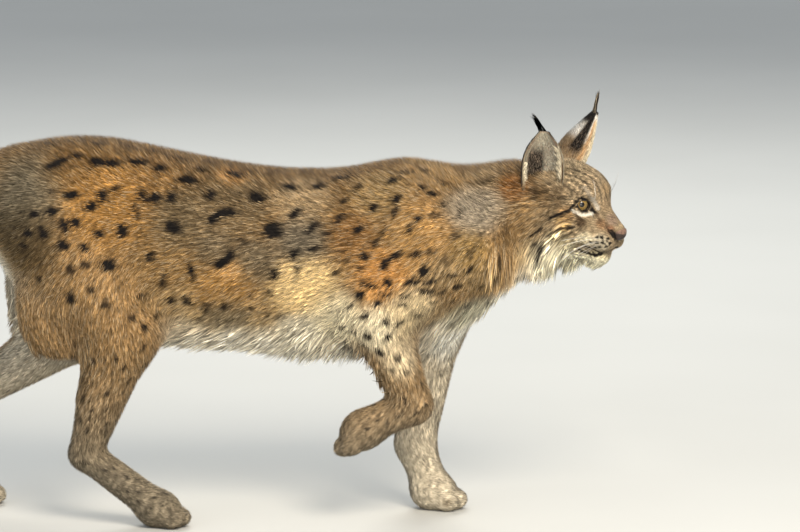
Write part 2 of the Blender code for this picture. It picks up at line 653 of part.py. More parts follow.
def head_mesh():
    """The head with its eye sockets, lids, mouth and nostrils."""
    planes = shifted([HEAD_CUT, NECK_CUT], GAP / 2)
    mesh = form_mesh("head", lynx, *HEAD_BOX, *HEAD_DETAIL, planes)
    shell = grown(mesh, GAP * 1.2)
    with_locks(mesh, ruff_locks(), planes)
    tools = [mouth_tool(), nose_block(-GAP / 2)]
    for side in (-1, 1):
        tools += [eye_ball(side, (EYE_RADIUS + GAP) * SOCKET_SCALE, 2), lid_opening(side)]
    return combine(mesh, tools), shell


def grown(mesh, amount):
    """A copy of the mesh, larger all over by a thin layer."""
    larger = mesh.copy()
    for vert, normal in zip(larger.vertices, [n.vector.copy() for n in mesh.vertex_normals]):
        vert.co += normal * amount
    return larger


def eye_axes(side):
    """Axes of an eye as columns: across the opening, up it, and out of it. side is +1 left."""
    spread = math.radians(EYE_SPREAD) * side
    out = Vector(head_axes() @ (math.cos(spread), math.sin(spread), 0.02)).normalized()
    up = Vector(head_axes() @ (0, 0, 1))
    across = up.cross(out).normalized() * side
    slant = math.radians(LID_SLANT)
    lifted = (across * math.cos(slant) + out.cross(across) * side * math.sin(slant)).normalized()
    return lifted, out.cross(lifted) * side, out


def eye_centre(side):
    """Middle of an eyeball."""
    return from_head((EYE_BACK, side * EYE_APART, 0))


def eye_ball(side, radius, fineness=3):
    """A ball at the place of an eye."""
    mesh = bpy.data.meshes.new("eye")
    solid = bmesh.new()
    bmesh.ops.create_icosphere(solid, subdivisions=fineness, radius=radius,
                               matrix=Matrix.Translation(eye_centre(side)))
    solid.to_mesh(mesh)
    solid.free()
    return mesh


def lid_opening(side):
    """The almond between the lids, as a block that runs outwards from the eye's middle."""
    across, up, out = eye_axes(side)
    outline = []
    for step in range(LID_POINTS):
        turn = 2 * math.pi * step / LID_POINTS
        high = LID_HEIGHT * math.sin(turn) * abs(math.sin(turn)) ** 0.25
        outline.append((LID_LENGTH * math.cos(turn), high))
    return tube_mesh([[eye_centre(side) + out * reach + (across * x + up * y) * scale
                       for x, y in outline] for reach, scale in LID_RINGS])


def tube_mesh(rings):
    """Closed tube through rings of points, with flat ends."""
    mesh = bpy.data.meshes.new("tube")
    solid = bmesh.new()
    loops = [[solid.verts.new(point) for point in ring] for ring in rings]
    count = len(rings[0])
    for first, second in zip(loops, loops[1:]):
        for i in range(count):
            j = (i + 1) % count
            solid.faces.new((first[i], first[j], second[j], second[i]))
    solid.faces.new(loops[0])
    solid.faces.new(loops[-1])
    bmesh.ops.recalc_face_normals(solid, faces=solid.faces)
    bmesh.ops.triangulate(solid, faces=solid.faces)
    solid.to_mesh(mesh)
    solid.free()
    return mesh


def with_locks(mesh, locks, planes):
    """The mesh with its locks joined on, kept inside its own bounds."""
    combine(mesh, locks, "UNION", "MANIFOLD")
    solid = bmesh.new()
    solid.from_mesh(mesh)
    for point, normal in planes:
        cut_flat(solid, Vector(point), Vector(normal).normalized())
    keep_largest(solid)
    bmesh.ops.triangulate(solid, faces=solid.faces)
    solid.to_mesh(mesh)
    solid.free()
    return mesh


def along_curve(points, share):
    """A point on the smooth curve through three points."""
    first, middle, last = (Vector(point) for point in points)
    return ((1 - share) * (1 - 2 * share) * first + 4 * share * (1 - share) * middle
            + share * (2 * share - 1) * last)


def grow(roots, lies, size, seed, form=None):
    """Locks on the surface nearest to each root. Each lie is the way that the tip points."""
    draw = random.Random(seed)
    form = form or lynx
    length, width, thick, sink, lift = size
    points = np.array([tuple(root) for root in roots])
    for _ in range(4):
        points = settle(points, form, 0.02)
    normals = slope(points, form)
    locks = []
    for point, normal, lie in zip(points, normals, lies):
        normal = Vector(normal).normalized()
        lie = Vector(lie).normalized()
        wander = Vector([draw.uniform(-0.13, 0.13) for _ in range(3)])
        flat = (lie - normal * lie.dot(normal)).normalized()
        start = flat + normal * (lift + 0.16)
        end = lie + wander + normal * lift
        scale = draw.uniform(0.86, 1.12)
        root = Vector(point) - normal * sink - flat * sink
        locks.append(lock(root, start, end, (length + sink) * scale,
                          width * draw.uniform(0.9, 1.15), thick, normal))
    return locks


def ruff_locks():
    """Tiers of long cheek hair on both sides, and the short beard under the chin."""
    roots, lies = [], []
    for side in (-1, 1):
        for row, (curve, count, lie) in enumerate(RUFF_ROWS):
            for step in range(count):
                share = (step + 0.25 + 0.5 * (row % 2)) / count
                place = along_curve(curve, share)
                place.y *= side
                roots.append(from_head(place))
                lies.append(head_axes() @ (lie[0] - 0.10 * (share - 0.5), lie[1] * side, lie[2]))
    locks = grow(roots, lies, RUFF_LOCK, 11)
    roots, lies = [], []
    for ahead, out in CHIN_ROOTS:
        roots.append(from_head((ahead, out, CHIN_ROOT_HEIGHT)))
        lies.append(head_axes() @ (-0.35, out * 8, -0.90))
    return locks + grow(roots, lies, CHIN_LOCK, 12)


def belly_locks():
    """Fringe in staggered rows along the belly."""
    roots, lies = [], []
    middle, edge = FRINGE_HEIGHTS
    for row, out in enumerate(FRINGE_ROWS):
        for step in range(FRINGE_COUNT):
            x = FRINGE_FRONT - FRINGE_STEP * (step + 0.5 * (row % 2))
            roots.append((x, out, middle + (edge - middle) * (out / FRINGE_ROWS[0]) ** 2))
            lies.append((-0.90, out * 1.5, -0.36))
    first, along, height = GROIN_ROOTS
    for step in range(4):
        roots.append((first + along * step, 0.0, height))
        lies.append((-0.90, 0.0, -0.36))
    return grow(roots, lies, FRINGE_LOCK, 21)


def chest_locks():
    """Hair of the breast, between and ahead of the forelegs."""
    roots, lies = [], []
    for x, z in CHEST_ROOTS:
        roots.append((x, 0.0, z))
        lies.append((-0.60, 0.0, -0.80))
    return grow(roots, lies, FRINGE_LOCK, 22)


def throat_locks():
    """Hair of the throat."""
    roots, lies = [], []
    for row, (x, z) in enumerate(THROAT_ROWS):
        for out in THROAT_OUT:
            roots.append((x, out + 0.010 * (row % 2), z + abs(out) * 0.25))
            lies.append((-0.35, out * 3.0, -0.92))
    return grow(roots, lies, LEG_LOCK, 23)


def leg_locks(name):
    """Longer hair down the back of the upper leg."""
    side = -1 if name.startswith("right") else 1
    roots, lies = [], []
    for step in range(LEG_LOCK_COUNT):
        place = along_curve(LEG_EDGES[name], (step + 0.5) / LEG_LOCK_COUNT)
        for out in LEG_LOCK_OUT:
            roots.append((place.x, place.y + side * out, place.z))
            lies.append((-0.14, side * out * 10, -1.00))
    return grow(roots, lies, LEG_LOCK, 31 + len(name))


def tail_locks():
    """Thick hair round the tail, closing to its tip."""
    roots, lies = [], []
    for tier, (x, z, radius) in enumerate(TAIL_RINGS):
        for step in range(TAIL_RING_COUNT):
            turn = 2 * math.pi * (step + 0.5 * (tier % 2)) / TAIL_RING_COUNT
            roots.append((x + radius * math.cos(turn), TAIL_MIDDLE + radius * math.sin(turn), z))
            inward = 0.10 + 0.10 * tier
            lies.append((-0.12 - inward * math.cos(turn), -inward * math.sin(turn), -1.0))
    return grow(roots, lies, TAIL_LOCK, 41)


def mouth_tool():
    """A wedge bent round the muzzle that opens the line between the lips."""
    rings = []
    for step in range(MOUTH_STEPS + 1):
        turn = math.radians(MOUTH_SWEEP * (2 * step / MOUTH_STEPS - 1))
        ahead, out = math.cos(turn), math.sin(turn)
        front, sag, rise = MOUTH_LINE
        droop = front + sag * out**2 + rise * out**4
        inner = (MOUTH_MIDDLE + MOUTH_INNER[0] * ahead, MOUTH_INNER[1] * out)
        outer = (MOUTH_MIDDLE + MOUTH_OUTER[0] * ahead, MOUTH_OUTER[1] * out)
        above, below = MOUTH_OPENING
        rings.append([from_head((*inner, droop)), from_head((*outer, droop - below)),
                      from_head((*outer, droop + above))])
    return tube_mesh(rings)


def nose_planes():
    """Planes behind and under the nose leather, pointing to it."""
    planes = [NOSE_REAR, NOSE_UNDER]
    for side in (-1, 1):
        planes.append([(ahead, side * out, up) for ahead, out, up in NOSE_SIDE])
    return [(from_head(point), Vector(head_axes() @ way)) for point, way in planes]


def nose_block(offset):
    """The block that the nose leather is cut from."""
    return prism(shifted(nose_planes(), offset), from_head(NOSE_MIDDLE), 4 * NOSE_REACH)


def nose_mesh():
    """The nose leather with its two nostrils."""
    planes = shifted(nose_planes(), GAP / 2)
    low = np.array(from_head(NOSE_MIDDLE)) - NOSE_REACH
    mesh = form_mesh("nose", lynx, low, low + 2 * NOSE_REACH, *NOSE_DETAIL, planes)
    (ahead, out, up), radii, spread = NOSTRIL
    tools = []
    for side in (-1, 1):
        turn = Matrix(head_axes()).to_4x4() @ Matrix.Rotation(side * spread, 4, "Z")
        tool = bpy.data.meshes.new("nostril")
        solid = bmesh.new()
        bmesh.ops.create_icosphere(solid, subdivisions=2, radius=1.0)
        bmesh.ops.scale(solid, vec=radii, verts=solid.verts)
        place = Matrix.Translation(from_head((ahead, side * out, up)))
        bmesh.ops.transform(solid, matrix=place @ turn, verts=solid.verts)
        solid.to_mesh(tool)
        solid.free()
        tools.append(tool)
    return combine(mesh, tools)


def ear_mesh(spec, lean, shell):
    """One ear: a cupped leaf of even thickness with its tuft, seated on the head."""
    root, tip, facing = (Vector(value) for value in spec)
    up = (tip - root).normalized()
    facing = (facing - up * facing.dot(up)).normalized()
    across = up.cross(facing)
    rows, columns = EAR_ROWS, EAR_COLUMNS
    shares, wides, deeps = zip(*EAR_FORM)
    root = root - up * EAR_SEAT
    length = (tip - root).length
    front, back = [], []
    for row in range(rows + 1):
        share = row / rows
        wide = float(curve_through(np.array([share]), shares, wides)[0])
        deep = float(curve_through(np.array([share]), shares, deeps)[0])
        thick = EAR_THICK * (1.0 - EAR_THINNING * share)
        for column in range(columns + 1):
            turn = math.pi / 2 * (2 * column / columns - 1)
            level = root + up * length * share
            edge = across * math.sin(turn)
            front.append(level + edge * wide - facing * deep * math.cos(turn))
            back.append(level + edge * (wide + thick * abs(math.sin(turn)))
                        - facing * (deep * math.cos(turn) + thick))
    mesh = bpy.data.meshes.new("ear")
    solid = bmesh.new()
    faces = [[solid.verts.new(point) for point in points] for points in (front, back)]
    wide_count = columns + 1
    for row in range(rows):
        for column in range(columns):
            at = row * wide_count + column
            corners = (at, at + 1, at + wide_count + 1, at + wide_count)
            for leaf in faces:
                solid.faces.new([leaf[corner] for corner in corners])
    rim = [column for column in range(wide_count)]
    rim += [row * wide_count + columns for row in range(1, rows + 1)]
    rim += [rows * wide_count + column for column in range(columns - 1, -1, -1)]
    rim += [row * wide_count for row in range(rows - 1, 0, -1)]
    for first, second in zip(rim, rim[1:] + rim[:1]):
        solid.faces.new((faces[0][first], faces[0][second], faces[1][second], faces[1][first]))
    bmesh.ops.recalc_face_normals(solid, faces=solid.faces)
    bmesh.ops.triangulate(solid, faces=solid.faces)
    solid.to_mesh(mesh)
    solid.free()
    combine(mesh, [shell.copy()])
    lean = Vector(lean).normalized()
    below, behind = TUFT_SEAT
    back_of_tip = tip - up * below - facing * behind
    tufts = []
    for spread, reach in TUFT_LOCKS:
        start = up + lean * 0.5 + across * spread * 0.6
        tufts.append(lock(back_of_tip + across * spread * 0.016, start, lean + across * spread,
                          TUFT_LENGTH * reach + below, *TUFT_LOCK, facing))
    return combine(mesh, tufts, "UNION")


def lock(root, start_way, end_way, length, width, thick, facing):
    """A flat tapered lock that leaves its root one way and bends to another."""
    start_way, end_way = Vector(start_way).normalized(), Vector(end_way).normalized()
    rings, place, steps = [], Vector(root), 3
    for step in range(steps):
        share = step / steps
        way = start_way.lerp(end_way, share).normalized()
        across = way.cross(facing).normalized()
        flat = across.cross(way)
        swell = math.sin(math.pi * (0.30 + 0.66 * share))
        rings.append([place + across * (width / 2 * swell), place + flat * (thick / 2 * swell),
                      place - across * (width / 2 * swell), place - flat * (thick / 2 * swell)])
        place = place + way * (length / steps)
    mesh = bpy.data.meshes.new("lock")
    solid = bmesh.new()
    loops = [[solid.verts.new(point) for point in ring] for ring in rings]
    for first, second in zip(loops, loops[1:]):
        for i in range(4):
            j = (i + 1) % 4
            solid.faces.new((first[i], first[j], second[j], second[i]))
    end = solid.verts.new(place)
    for i in range(4):
        solid.faces.new((loops[-1][i], loops[-1][(i + 1) % 4], end))
    solid.faces.new(loops[0])
    bmesh.ops.recalc_face_normals(solid, faces=solid.faces)
    bmesh.ops.triangulate(solid, faces=solid.faces)
    solid.to_mesh(mesh)
    solid.free()
    return mesh


def finish(name, colour, roughness=0.9):
    """A plain finish."""
    made = bpy.data.materials.new(name)
    made.use_nodes = True
    shader = made.node_tree.nodes["Principled BSDF"]
    shader.inputs["Base Color"].default_value = (*colour, 1.0)
    shader.inputs["Roughness"].default_value = roughness
    shader.inputs["Metallic"].default_value = 0.0
    return made


def place(name, mesh, look):
    """Sets a finished mesh in the scene, in the part's frame."""
    mesh.name = name
    mesh.transform(Matrix.Translation(BODY_SHIFT))
    mesh.materials.clear()
    mesh.materials.append(look)
    mesh.shade_smooth()
    mesh.set_sharp_from_angle(angle=math.radians(50))
    made = bpy.data.objects.new(name, mesh)
    bpy.context.scene.collection.objects.link(made)
    return made


def main():
    """Builds every part of the animal."""
    for old in list(bpy.data.objects):
        bpy.data.objects.remove(old)
    fur = finish("tawny_fur", (0.40, 0.28, 0.17))
    pale_fur = finish("pale_fur", (0.58, 0.48, 0.36))
    dark_fur = finish("dark_fur", (0.16, 0.12, 0.09))
    eye = finish("amber_eye", (0.55, 0.38, 0.12), 0.1)
    leather = finish("nose_leather", (0.36, 0.20, 0.16), 0.5)
    place("torso", torso_mesh(), fur)
    place("neck", neck_mesh(), fur)
    place("tail", tail_mesh(), dark_fur)
    for paw_name, leg_name in LEG_OF_PAW.items():
        place(leg_name, leg_mesh(leg_name, paw_name), fur)
        place(paw_name, paw_mesh(paw_name), pale_fur)
    head, shell = head_mesh()
    place("head", head, fur)
    place("nose", nose_mesh(), leather)
    place("right_ear", ear_mesh(RIGHT_EAR, RIGHT_TUFT_LEAN, shell), dark_fur)
    place("left_ear", ear_mesh(LEFT_EAR, LEFT_TUFT_LEAN, shell), dark_fur)
    place("right_eye", eye_ball(-1, EYE_RADIUS), eye)
    place("left_eye", eye_ball(1, EYE_RADIUS), eye)
    bpy.data.meshes.remove(shell)


main()
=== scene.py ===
"""Looks of a life-size Eurasian lynx in mid-walk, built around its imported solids.

Metres, +Z up, +X towards the nose, the animal's left side at +Y.
The body is one smooth form, a blend of named muscles, out to the tips of the coat. The skin lies
inside that form by the depth of the coat, and the coat is solid tufts that lie along the body.
"""
import logging
import math
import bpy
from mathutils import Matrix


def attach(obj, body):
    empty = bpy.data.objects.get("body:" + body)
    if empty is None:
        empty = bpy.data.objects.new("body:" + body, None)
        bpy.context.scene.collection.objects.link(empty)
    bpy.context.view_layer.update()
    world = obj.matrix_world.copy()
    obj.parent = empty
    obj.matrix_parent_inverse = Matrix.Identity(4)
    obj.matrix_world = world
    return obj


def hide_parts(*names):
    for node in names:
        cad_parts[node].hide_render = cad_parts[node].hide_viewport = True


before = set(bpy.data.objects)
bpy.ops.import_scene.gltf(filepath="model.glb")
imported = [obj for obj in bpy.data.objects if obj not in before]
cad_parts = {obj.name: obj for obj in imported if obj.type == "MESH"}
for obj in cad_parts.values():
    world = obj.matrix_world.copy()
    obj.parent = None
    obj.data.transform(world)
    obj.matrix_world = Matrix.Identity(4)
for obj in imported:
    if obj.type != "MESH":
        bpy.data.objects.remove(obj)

from concurrent.futures import ThreadPoolExecutor
from contextlib import contextmanager
from dataclasses import dataclass, field
from enum import Enum
from typing import Callable, Iterable, Iterator, Sequence

import bmesh
import bpy
import numpy as np
from mathutils import Matrix, Vector

Points = np.ndarray
Triple = tuple[float, float, float]
Mesh = bpy.types.Mesh
Solid = bmesh.types.BMesh
Material = bpy.types.Material
Draw = np.random.Generator

log = logging.getLogger("lynx")

# From the body's own frame to the part's, whose origin is under the middle of the whole.
BODY_SHIFT = np.array((0.2100, -0.0005, 0.0))
# The photo's scale at the animal, in metres for each of its pixels, and its middle.
PIXEL = 0.00145
PHOTO_WIDTH = 800
PHOTO_MIDDLE = (400.0, 266.0)
# Camera: what it looks at, in the body's frame, how far it stands off and its height in degrees.
LOOK_AT = np.array((0.0, 0.0, 0.3666))
CAMERA_AWAY = 9.5
CAMERA_HEIGHT = 10.0
# Plain coat of the legs and the tail's root.
TAWNY = (0.40, 0.265, 0.13)
# How much the colour under the soft patches weighs against one of them.
BASE_WEIGHT = 0.30
# Painted shade on the skin under the coat: how dark the skin is, as a share of the coat's own tone.
UNDERFUR_SHADE = 0.75
# How far a hair's root is sunk in the skin.
ROOT_DEPTH = 0.0006
# Side of the patch that a tuft holds on the bake map.
BAKE_PATCH = 0.003


class Slot(Enum):
    """The record's finishes."""

    BODY = "body_fur"
    HEAD = "head_fur"
    PAW = "paw_fur"
    TAIL = "tail_fur"
    EAR = "ear_fur"
    NOSE = "nose_leather"
    EYE = "eye"


class Side(Enum):
    """The animal's own sides, as the sign of Y."""

    RIGHT = -1
    LEFT = 1


def unit(vectors: Points) -> Points:
    """Vectors at length one."""
    return vectors / np.maximum(np.linalg.norm(vectors, axis=-1, keepdims=True), 1e-9)


def ramp(value: Points, start: float, end: float) -> Points:
    """Smooth step from 0 at start to 1 at end, where end may be the lower."""
    share = np.clip((value - start) / (end - start), 0.0, 1.0)
    return share * share * (3.0 - 2.0 * share)


def smooth_min(first: Points, second: Points, blend: float) -> Points:
    """Union of two forms that melt into each other over the blend length."""
    share = np.clip(0.5 + 0.5 * (second - first) / blend, 0.0, 1.0)
    return second + (first - second) * share - blend * share * (1.0 - share)


def curve_through(x: Points, stations: Sequence[float], values: Sequence[float]) -> Points:
    """Smooth curve through values at stations, held flat past both ends.

    Args:
        x: Places along the stations.
        stations: Rising places of the values.
        values: The value at each station.

    Returns:
        The curve's value at each x.
    """
    at, level = np.asarray(stations), np.asarray(values)
    slopes = np.gradient(level, at)
    x = np.clip(x, at[0], at[-1])
    i = np.clip(np.searchsorted(at, x) - 1, 0, len(at) - 2)
    step = at[i + 1] - at[i]
    t = (x - at[i]) / step
    return ((2 * t**3 - 3 * t**2 + 1) * level[i] + (t**3 - 2 * t**2 + t) * step * slopes[i]
            + (3 * t**2 - 2 * t**3) * level[i + 1] + (t**3 - t**2) * step * slopes[i + 1])


def waves(p: Points, length: float, seed: int, count: int = 7) -> Points:
    """Soft wavy noise between about -1 and 1.

    Args:
        p: Points.
        length: Rough length of a wave, in metres.
        seed: Seed of the waves' directions.
        count: Number of waves laid over one another.

    Returns:
        One value for each point.
    """
    draw = np.random.default_rng(seed)
    total = np.zeros(len(p))
    for _ in range(count):
        way = draw.normal(size=3)
        way *= 2 * math.pi / (length * np.linalg.norm(way) * draw.uniform(0.6, 1.6))
        total += np.sin(p @ way + draw.uniform(0, 2 * math.pi))
    return total / math.sqrt(count)


def columns(*values: Points | float) -> Points:
    """Values side by side, with a number repeated down its whole column."""
    return np.stack(np.broadcast_arrays(*values), axis=1)


def to_left(p: Points) -> Points:
    """Points with those of the right side laid over to the left."""
    return p * (1, 0, 1) + np.abs(p) * (0, 1, 0)


def covered(base: Points | Triple, share: Points, colour: Points | Triple) -> Points:
    """The base colours with one more colour laid over them."""
    share = share[:, None]
    return np.asarray(base) * (1 - share) + np.asarray(colour) * share


def in_blocks(work: Callable[[Points], Points], points: Points, size: int = 5000) -> Points:
    """Runs work on blocks of points side by side, and joins what it returns."""
    blocks = [points[start:start + size] for start in range(0, len(points), size)]
    with ThreadPoolExecutor(4) as pool:
        return np.concatenate(list(pool.map(work, blocks)))


def add_ball(solid: Solid, fineness: int, place: Matrix, radius: float = 1.0) -> None:
    """Adds a ball to a mesh."""
    bmesh.ops.create_icosphere(solid, subdivisions=fineness, radius=radius, matrix=place)


def turned_to(way: Iterable[float]) -> Matrix:
    """The turn that lays the Z axis along a way."""
    return Vector(way).to_track_quat("Z", "Y").to_matrix().to_4x4()


@dataclass(frozen=True)
class Ball:
    """Ellipsoid muscle, turned by a matrix of its axes as columns."""

    centre: Triple
    radii: Triple
    turn: Points | None = None

    def distance(self, p: Points) -> Points:
        """Distance of points from the surface, negative inside."""
        q = p - np.asarray(self.centre)
        if self.turn is not None:
            q = q @ self.turn
        radii = np.asarray(self.radii, float)
        near = np.linalg.norm(q / radii, axis=1)
        steep = np.linalg.norm(q / radii**2, axis=1)
        return near * (near - 1.0) / np.maximum(steep, 1e-9)

    def rough(self, solid: Solid, frame_of: Matrix) -> None:
        """Adds the muscle to a mesh as a plain ball."""
        turn = Matrix(self.turn).to_4x4() if self.turn is not None else Matrix()
        place = frame_of @ Matrix.Translation(self.centre) @ turn @ Matrix.Diagonal((*self.radii, 1))
        add_ball(solid, 3, place)


@dataclass(frozen=True)
class Limb:
    """Chain of tapered rods from joint to joint, each joint a point and its radius."""

    joints: tuple[tuple[Triple, float], ...]
    blend: float = 0.02
    way_blend: float = 0.012

    def rods(self, p: Points) -> list[tuple[Points, Points]]:
        """Distance from each rod, and the way it runs."""
        made = []
        for (start, r_start), (end, r_end) in zip(self.joints, self.joints[1:]):
            start, end = np.asarray(start), np.asarray(end)
            along = end - start
            share = np.clip((p - start) @ along / (along @ along), 0.0, 1.0)
            away = p - start - share[:, None] * along
            made.append((np.linalg.norm(away, axis=1) - (r_start + (r_end - r_start) * share),
                         along / np.linalg.norm(along)))
        return made

    def distance(self, p: Points) -> Points:
        """Distance of points from the surface, negative inside."""
        rods = self.rods(p)
        form = rods[0][0]
        for rod, _ in rods[1:]:
            form = smooth_min(form, rod, self.blend)
        return form

    def way(self, p: Points) -> Points:
        """The way that the nearest rods run, blended."""
        rods = self.rods(p)
        nearest = np.min([rod for rod, _ in rods], axis=0)
        total = np.zeros((len(p), 3))
        for rod, way in rods:
            total += np.exp(-(rod - nearest) / self.way_blend)[:, None] * way
        return unit(total)

    def rough(self, solid: Solid, frame_of: Matrix) -> None:
        """Adds the chain to a mesh as balls and cones."""
        for (start, r_start), (end, r_end) in zip(self.joints, self.joints[1:]):
            start, end = Vector(start), Vector(end)
            for point, radius in ((start, r_start), (end, r_end)):
                add_ball(solid, 2, frame_of @ Matrix.Translation(point), radius)
            place = frame_of @ Matrix.Translation((start + end) / 2) @ turned_to(end - start)
            bmesh.ops.create_cone(solid, cap_ends=True, segments=16, radius1=r_start, radius2=r_end,
                                  depth=(end - start).length, matrix=place)


@dataclass(frozen=True)
class Trunk:
    """Trunk and neck, lofted through stations along the body."""

    along: tuple[float, ...] = (-0.615, -0.600, -0.570, -0.520, -0.470, -0.420, -0.360, -0.290,
                                -0.220, -0.145, -0.070, -0.030, 0.007, 0.045, 0.090, 0.125,
                                0.155, 0.185, 0.220)
    back: tuple[float, ...] = (0.490, 0.515, 0.541, 0.556, 0.562, 0.560, 0.549, 0.534, 0.521,
                               0.514, 0.517, 0.525, 0.530, 0.526, 0.521, 0.523, 0.528, 0.526,
                               0.508)
    belly: tuple[float, ...] = (0.430, 0.400, 0.355, 0.305, 0.278, 0.260, 0.246, 0.238, 0.235,
                                0.231, 0.232, 0.236, 0.243, 0.252, 0.268, 0.298, 0.335, 0.360,
                                0.385)
    half_width: tuple[float, ...] = (0.030, 0.052, 0.076, 0.094, 0.102, 0.105, 0.106, 0.107,
                                     0.108, 0.108, 0.106, 0.103, 0.100, 0.096, 0.090, 0.084,
                                     0.078, 0.071, 0.058)
    squareness: float = 2.15
    fringe_rise: float = 0.009

    def sway(self, x: Points) -> Points:
        """How far the neck bends to the right as it nears the turned head."""
        return 0.016 * np.clip((x - 0.10) / 0.12, 0.0, 1.0) ** 2

    def levels(self, x: Points) -> tuple[Points, Points]:
        """Heights of the back and of the belly's core."""
        rise = self.fringe_rise * np.clip((x + 0.46) / 0.08, 0, 1) * np.clip((0.16 - x) / 0.08, 0, 1)
        return (curve_through(x, self.along, self.back),
                curve_through(x, self.along, self.belly) + rise)

    def distance(self, p: Points) -> Points:
        """Distance of points from the surface, negative inside."""
        back, belly = self.levels(p[:, 0])
        wide = curve_through(p[:, 0], self.along, self.half_width)
        high = (back - belly) / 2
        up = np.abs(p[:, 2] - (back + belly) / 2) / high
        out = np.abs(p[:, 1] + self.sway(p[:, 0])) / wide
        ring = (up**self.squareness + out**self.squareness) ** (1 / self.squareness)
        side = (ring - 1.0) * np.minimum(wide, high)
        past = np.maximum(self.along[0] - p[:, 0], p[:, 0] - self.along[-1])
        return np.where(past > 0, np.hypot(np.maximum(side, 0), np.maximum(past, 0)), side)

    def rough(self, solid: Solid) -> None:
        """Adds the trunk to a mesh as a tube through a ring at each station."""
        back, belly = self.levels(np.array(self.along))
        sway = self.sway(np.array(self.along))
        upright = Matrix.Rotation(math.radians(90), 4, "Y")
        rings = []
        for i, x in enumerate(self.along):
            high = (back[i] - belly[i]) / 2
            place = Matrix.Translation((x, -sway[i], (back[i] + belly[i]) / 2)) @ upright
            size = Matrix.Diagonal((high, self.half_width[i], 1, 1))
            made = bmesh.ops.create_circle(solid, segments=32, radius=1.0, matrix=place @ size)
            rings.append(list({edge for vert in made["verts"] for edge in vert.link_edges}))
        for first, second in zip(rings, rings[1:]):
            bmesh.ops.bridge_loops(solid, edges=first + second)
        bmesh.ops.holes_fill(solid, edges=rings[0] + rings[-1], sides=0)
        bmesh.ops.recalc_face_normals(solid, faces=solid.faces)


@dataclass(frozen=True)
class Paw:
    """One foot: the bones from wrist or hock to the ball, the pad and four toes."""

    top: Triple
    base: Triple
    forward: Triple
    radius: float
    size: float = 1.0
    toe_places: tuple[tuple[float, float], ...] = ((-0.0255, 0.024), (-0.0090, 0.034),
                                                   (0.0090, 0.034), (0.0255, 0.024))
    toe_radii: Triple = (0.0210, 0.0112, 0.0165)

    def axes(self) -> Points:
        """Axes as columns: toes, across, and the back of the foot."""
        toes = Vector(self.forward).normalized()
        across = Vector((0, 0, 1)).cross(toes).normalized()
        return np.array((toes, across, toes.cross(across))).T

    def shapes(self) -> list[tuple["Ball | Limb", float]]:
        """The foot's muscles, each with the length over which it melts in."""
        axes, base, size = self.axes(), np.array(self.base), self.size
        made = [(Limb(((self.top, self.radius), (self.base, 0.0275 * size))), 0.0)]
        pad = tuple(base + axes @ np.array((0.004, 0, -0.003)))
        made.append((Ball(pad, tuple(np.array((0.036, 0.035, 0.029)) * size), axes), 0.015))
        for out, ahead in self.toe_places:
            centre = tuple(base + axes @ (np.array((ahead, out, -0.0125)) * size))
            made.append((Ball(centre, tuple(np.array(self.toe_radii) * size), axes), 0.0045))
        return made

    def distance(self, p: Points) -> Points:
        """Distance of points from the surface, negative inside."""
        form = None
        for shape, blend in self.shapes():
            here = shape.distance(p)
            form = here if form is None else smooth_min(form, here, blend)
        return form


@dataclass(frozen=True)
class Leg:
    """One leg: its chain of bones, its thigh where it has one, and its paw."""

    name: str
    paw_name: str
    side: Side
    chain: Limb
    paw: Paw
    paw_blend: float
    thigh: Ball | None = None

    def upper(self, p: Points) -> Points:
        """Distance from the leg without its paw."""
        form = self.chain.distance(p)
        if self.thigh is not None:
            form = smooth_min(form, self.thigh.distance(p), 0.03)
        return form

    def distance(self, p: Points) -> Points:
        """Distance of points from the surface, negative inside."""
        return smooth_min(self.upper(p), self.paw.distance(p), self.paw_blend)

    def rough(self, solid: Solid) -> None:
        """Adds the leg to a mesh."""
        self.chain.rough(solid, Matrix())
        if self.thigh is not None:
            self.thigh.rough(solid, Matrix())
        for shape, _ in self.paw.shapes():
            shape.rough(solid, Matrix())


def lean(degrees: float) -> Points:
    """Turn about the Y axis, as axes in columns."""
    return np.array(Matrix.Rotation(math.radians(degrees), 3, "Y"))


LEGS = (
    Leg("right_foreleg", "right_forepaw", Side.RIGHT,
        Limb((((0.020, -0.052, 0.450), 0.050), ((0.100, -0.058, 0.395), 0.058),
              ((-0.036, -0.078, 0.322), 0.049), ((0.019, -0.072, 0.176), 0.029)), 0.03),
        Paw((0.019, -0.072, 0.176), (-0.052, -0.074, 0.142), (-0.91, -0.02, -0.41), 0.0285), 0.015),
    Leg("left_foreleg", "left_forepaw", Side.LEFT,
        Limb((((0.030, 0.052, 0.450), 0.050), ((0.105, 0.056, 0.390), 0.058),
              ((0.048, 0.060, 0.278), 0.049), ((0.022, 0.042, 0.096), 0.030)), 0.03),
        Paw((0.022, 0.042, 0.096), (0.046, 0.038, 0.0285), (0.99, -0.08, -0.05), 0.0295), 0.015),
    Leg("right_hind_leg", "right_hind_paw", Side.RIGHT,
        Limb((((-0.500, -0.050, 0.440), 0.078), ((-0.400, -0.082, 0.285), 0.054),
              ((-0.455, -0.080, 0.105), 0.025)), 0.03),
        Paw((-0.455, -0.080, 0.105), (-0.352, -0.086, 0.0275), (0.99, -0.04, -0.06), 0.0240, 0.95),
        0.012, Ball((-0.462, -0.062, 0.355), (0.086, 0.046, 0.125), lean(28.0))),
    Leg("left_hind_leg", "left_hind_paw", Side.LEFT,
        Limb((((-0.510, 0.050, 0.440), 0.078), ((-0.455, 0.082, 0.275), 0.055),
              ((-0.640, 0.075, 0.155), 0.026)), 0.03),
        Paw((-0.640, 0.075, 0.155), (-0.628, 0.072, 0.0290), (0.98, 0.04, -0.10), 0.0240, 0.95),
        0.012, Ball((-0.492, 0.062, 0.355), (0.086, 0.046, 0.125), lean(14.0))),
)
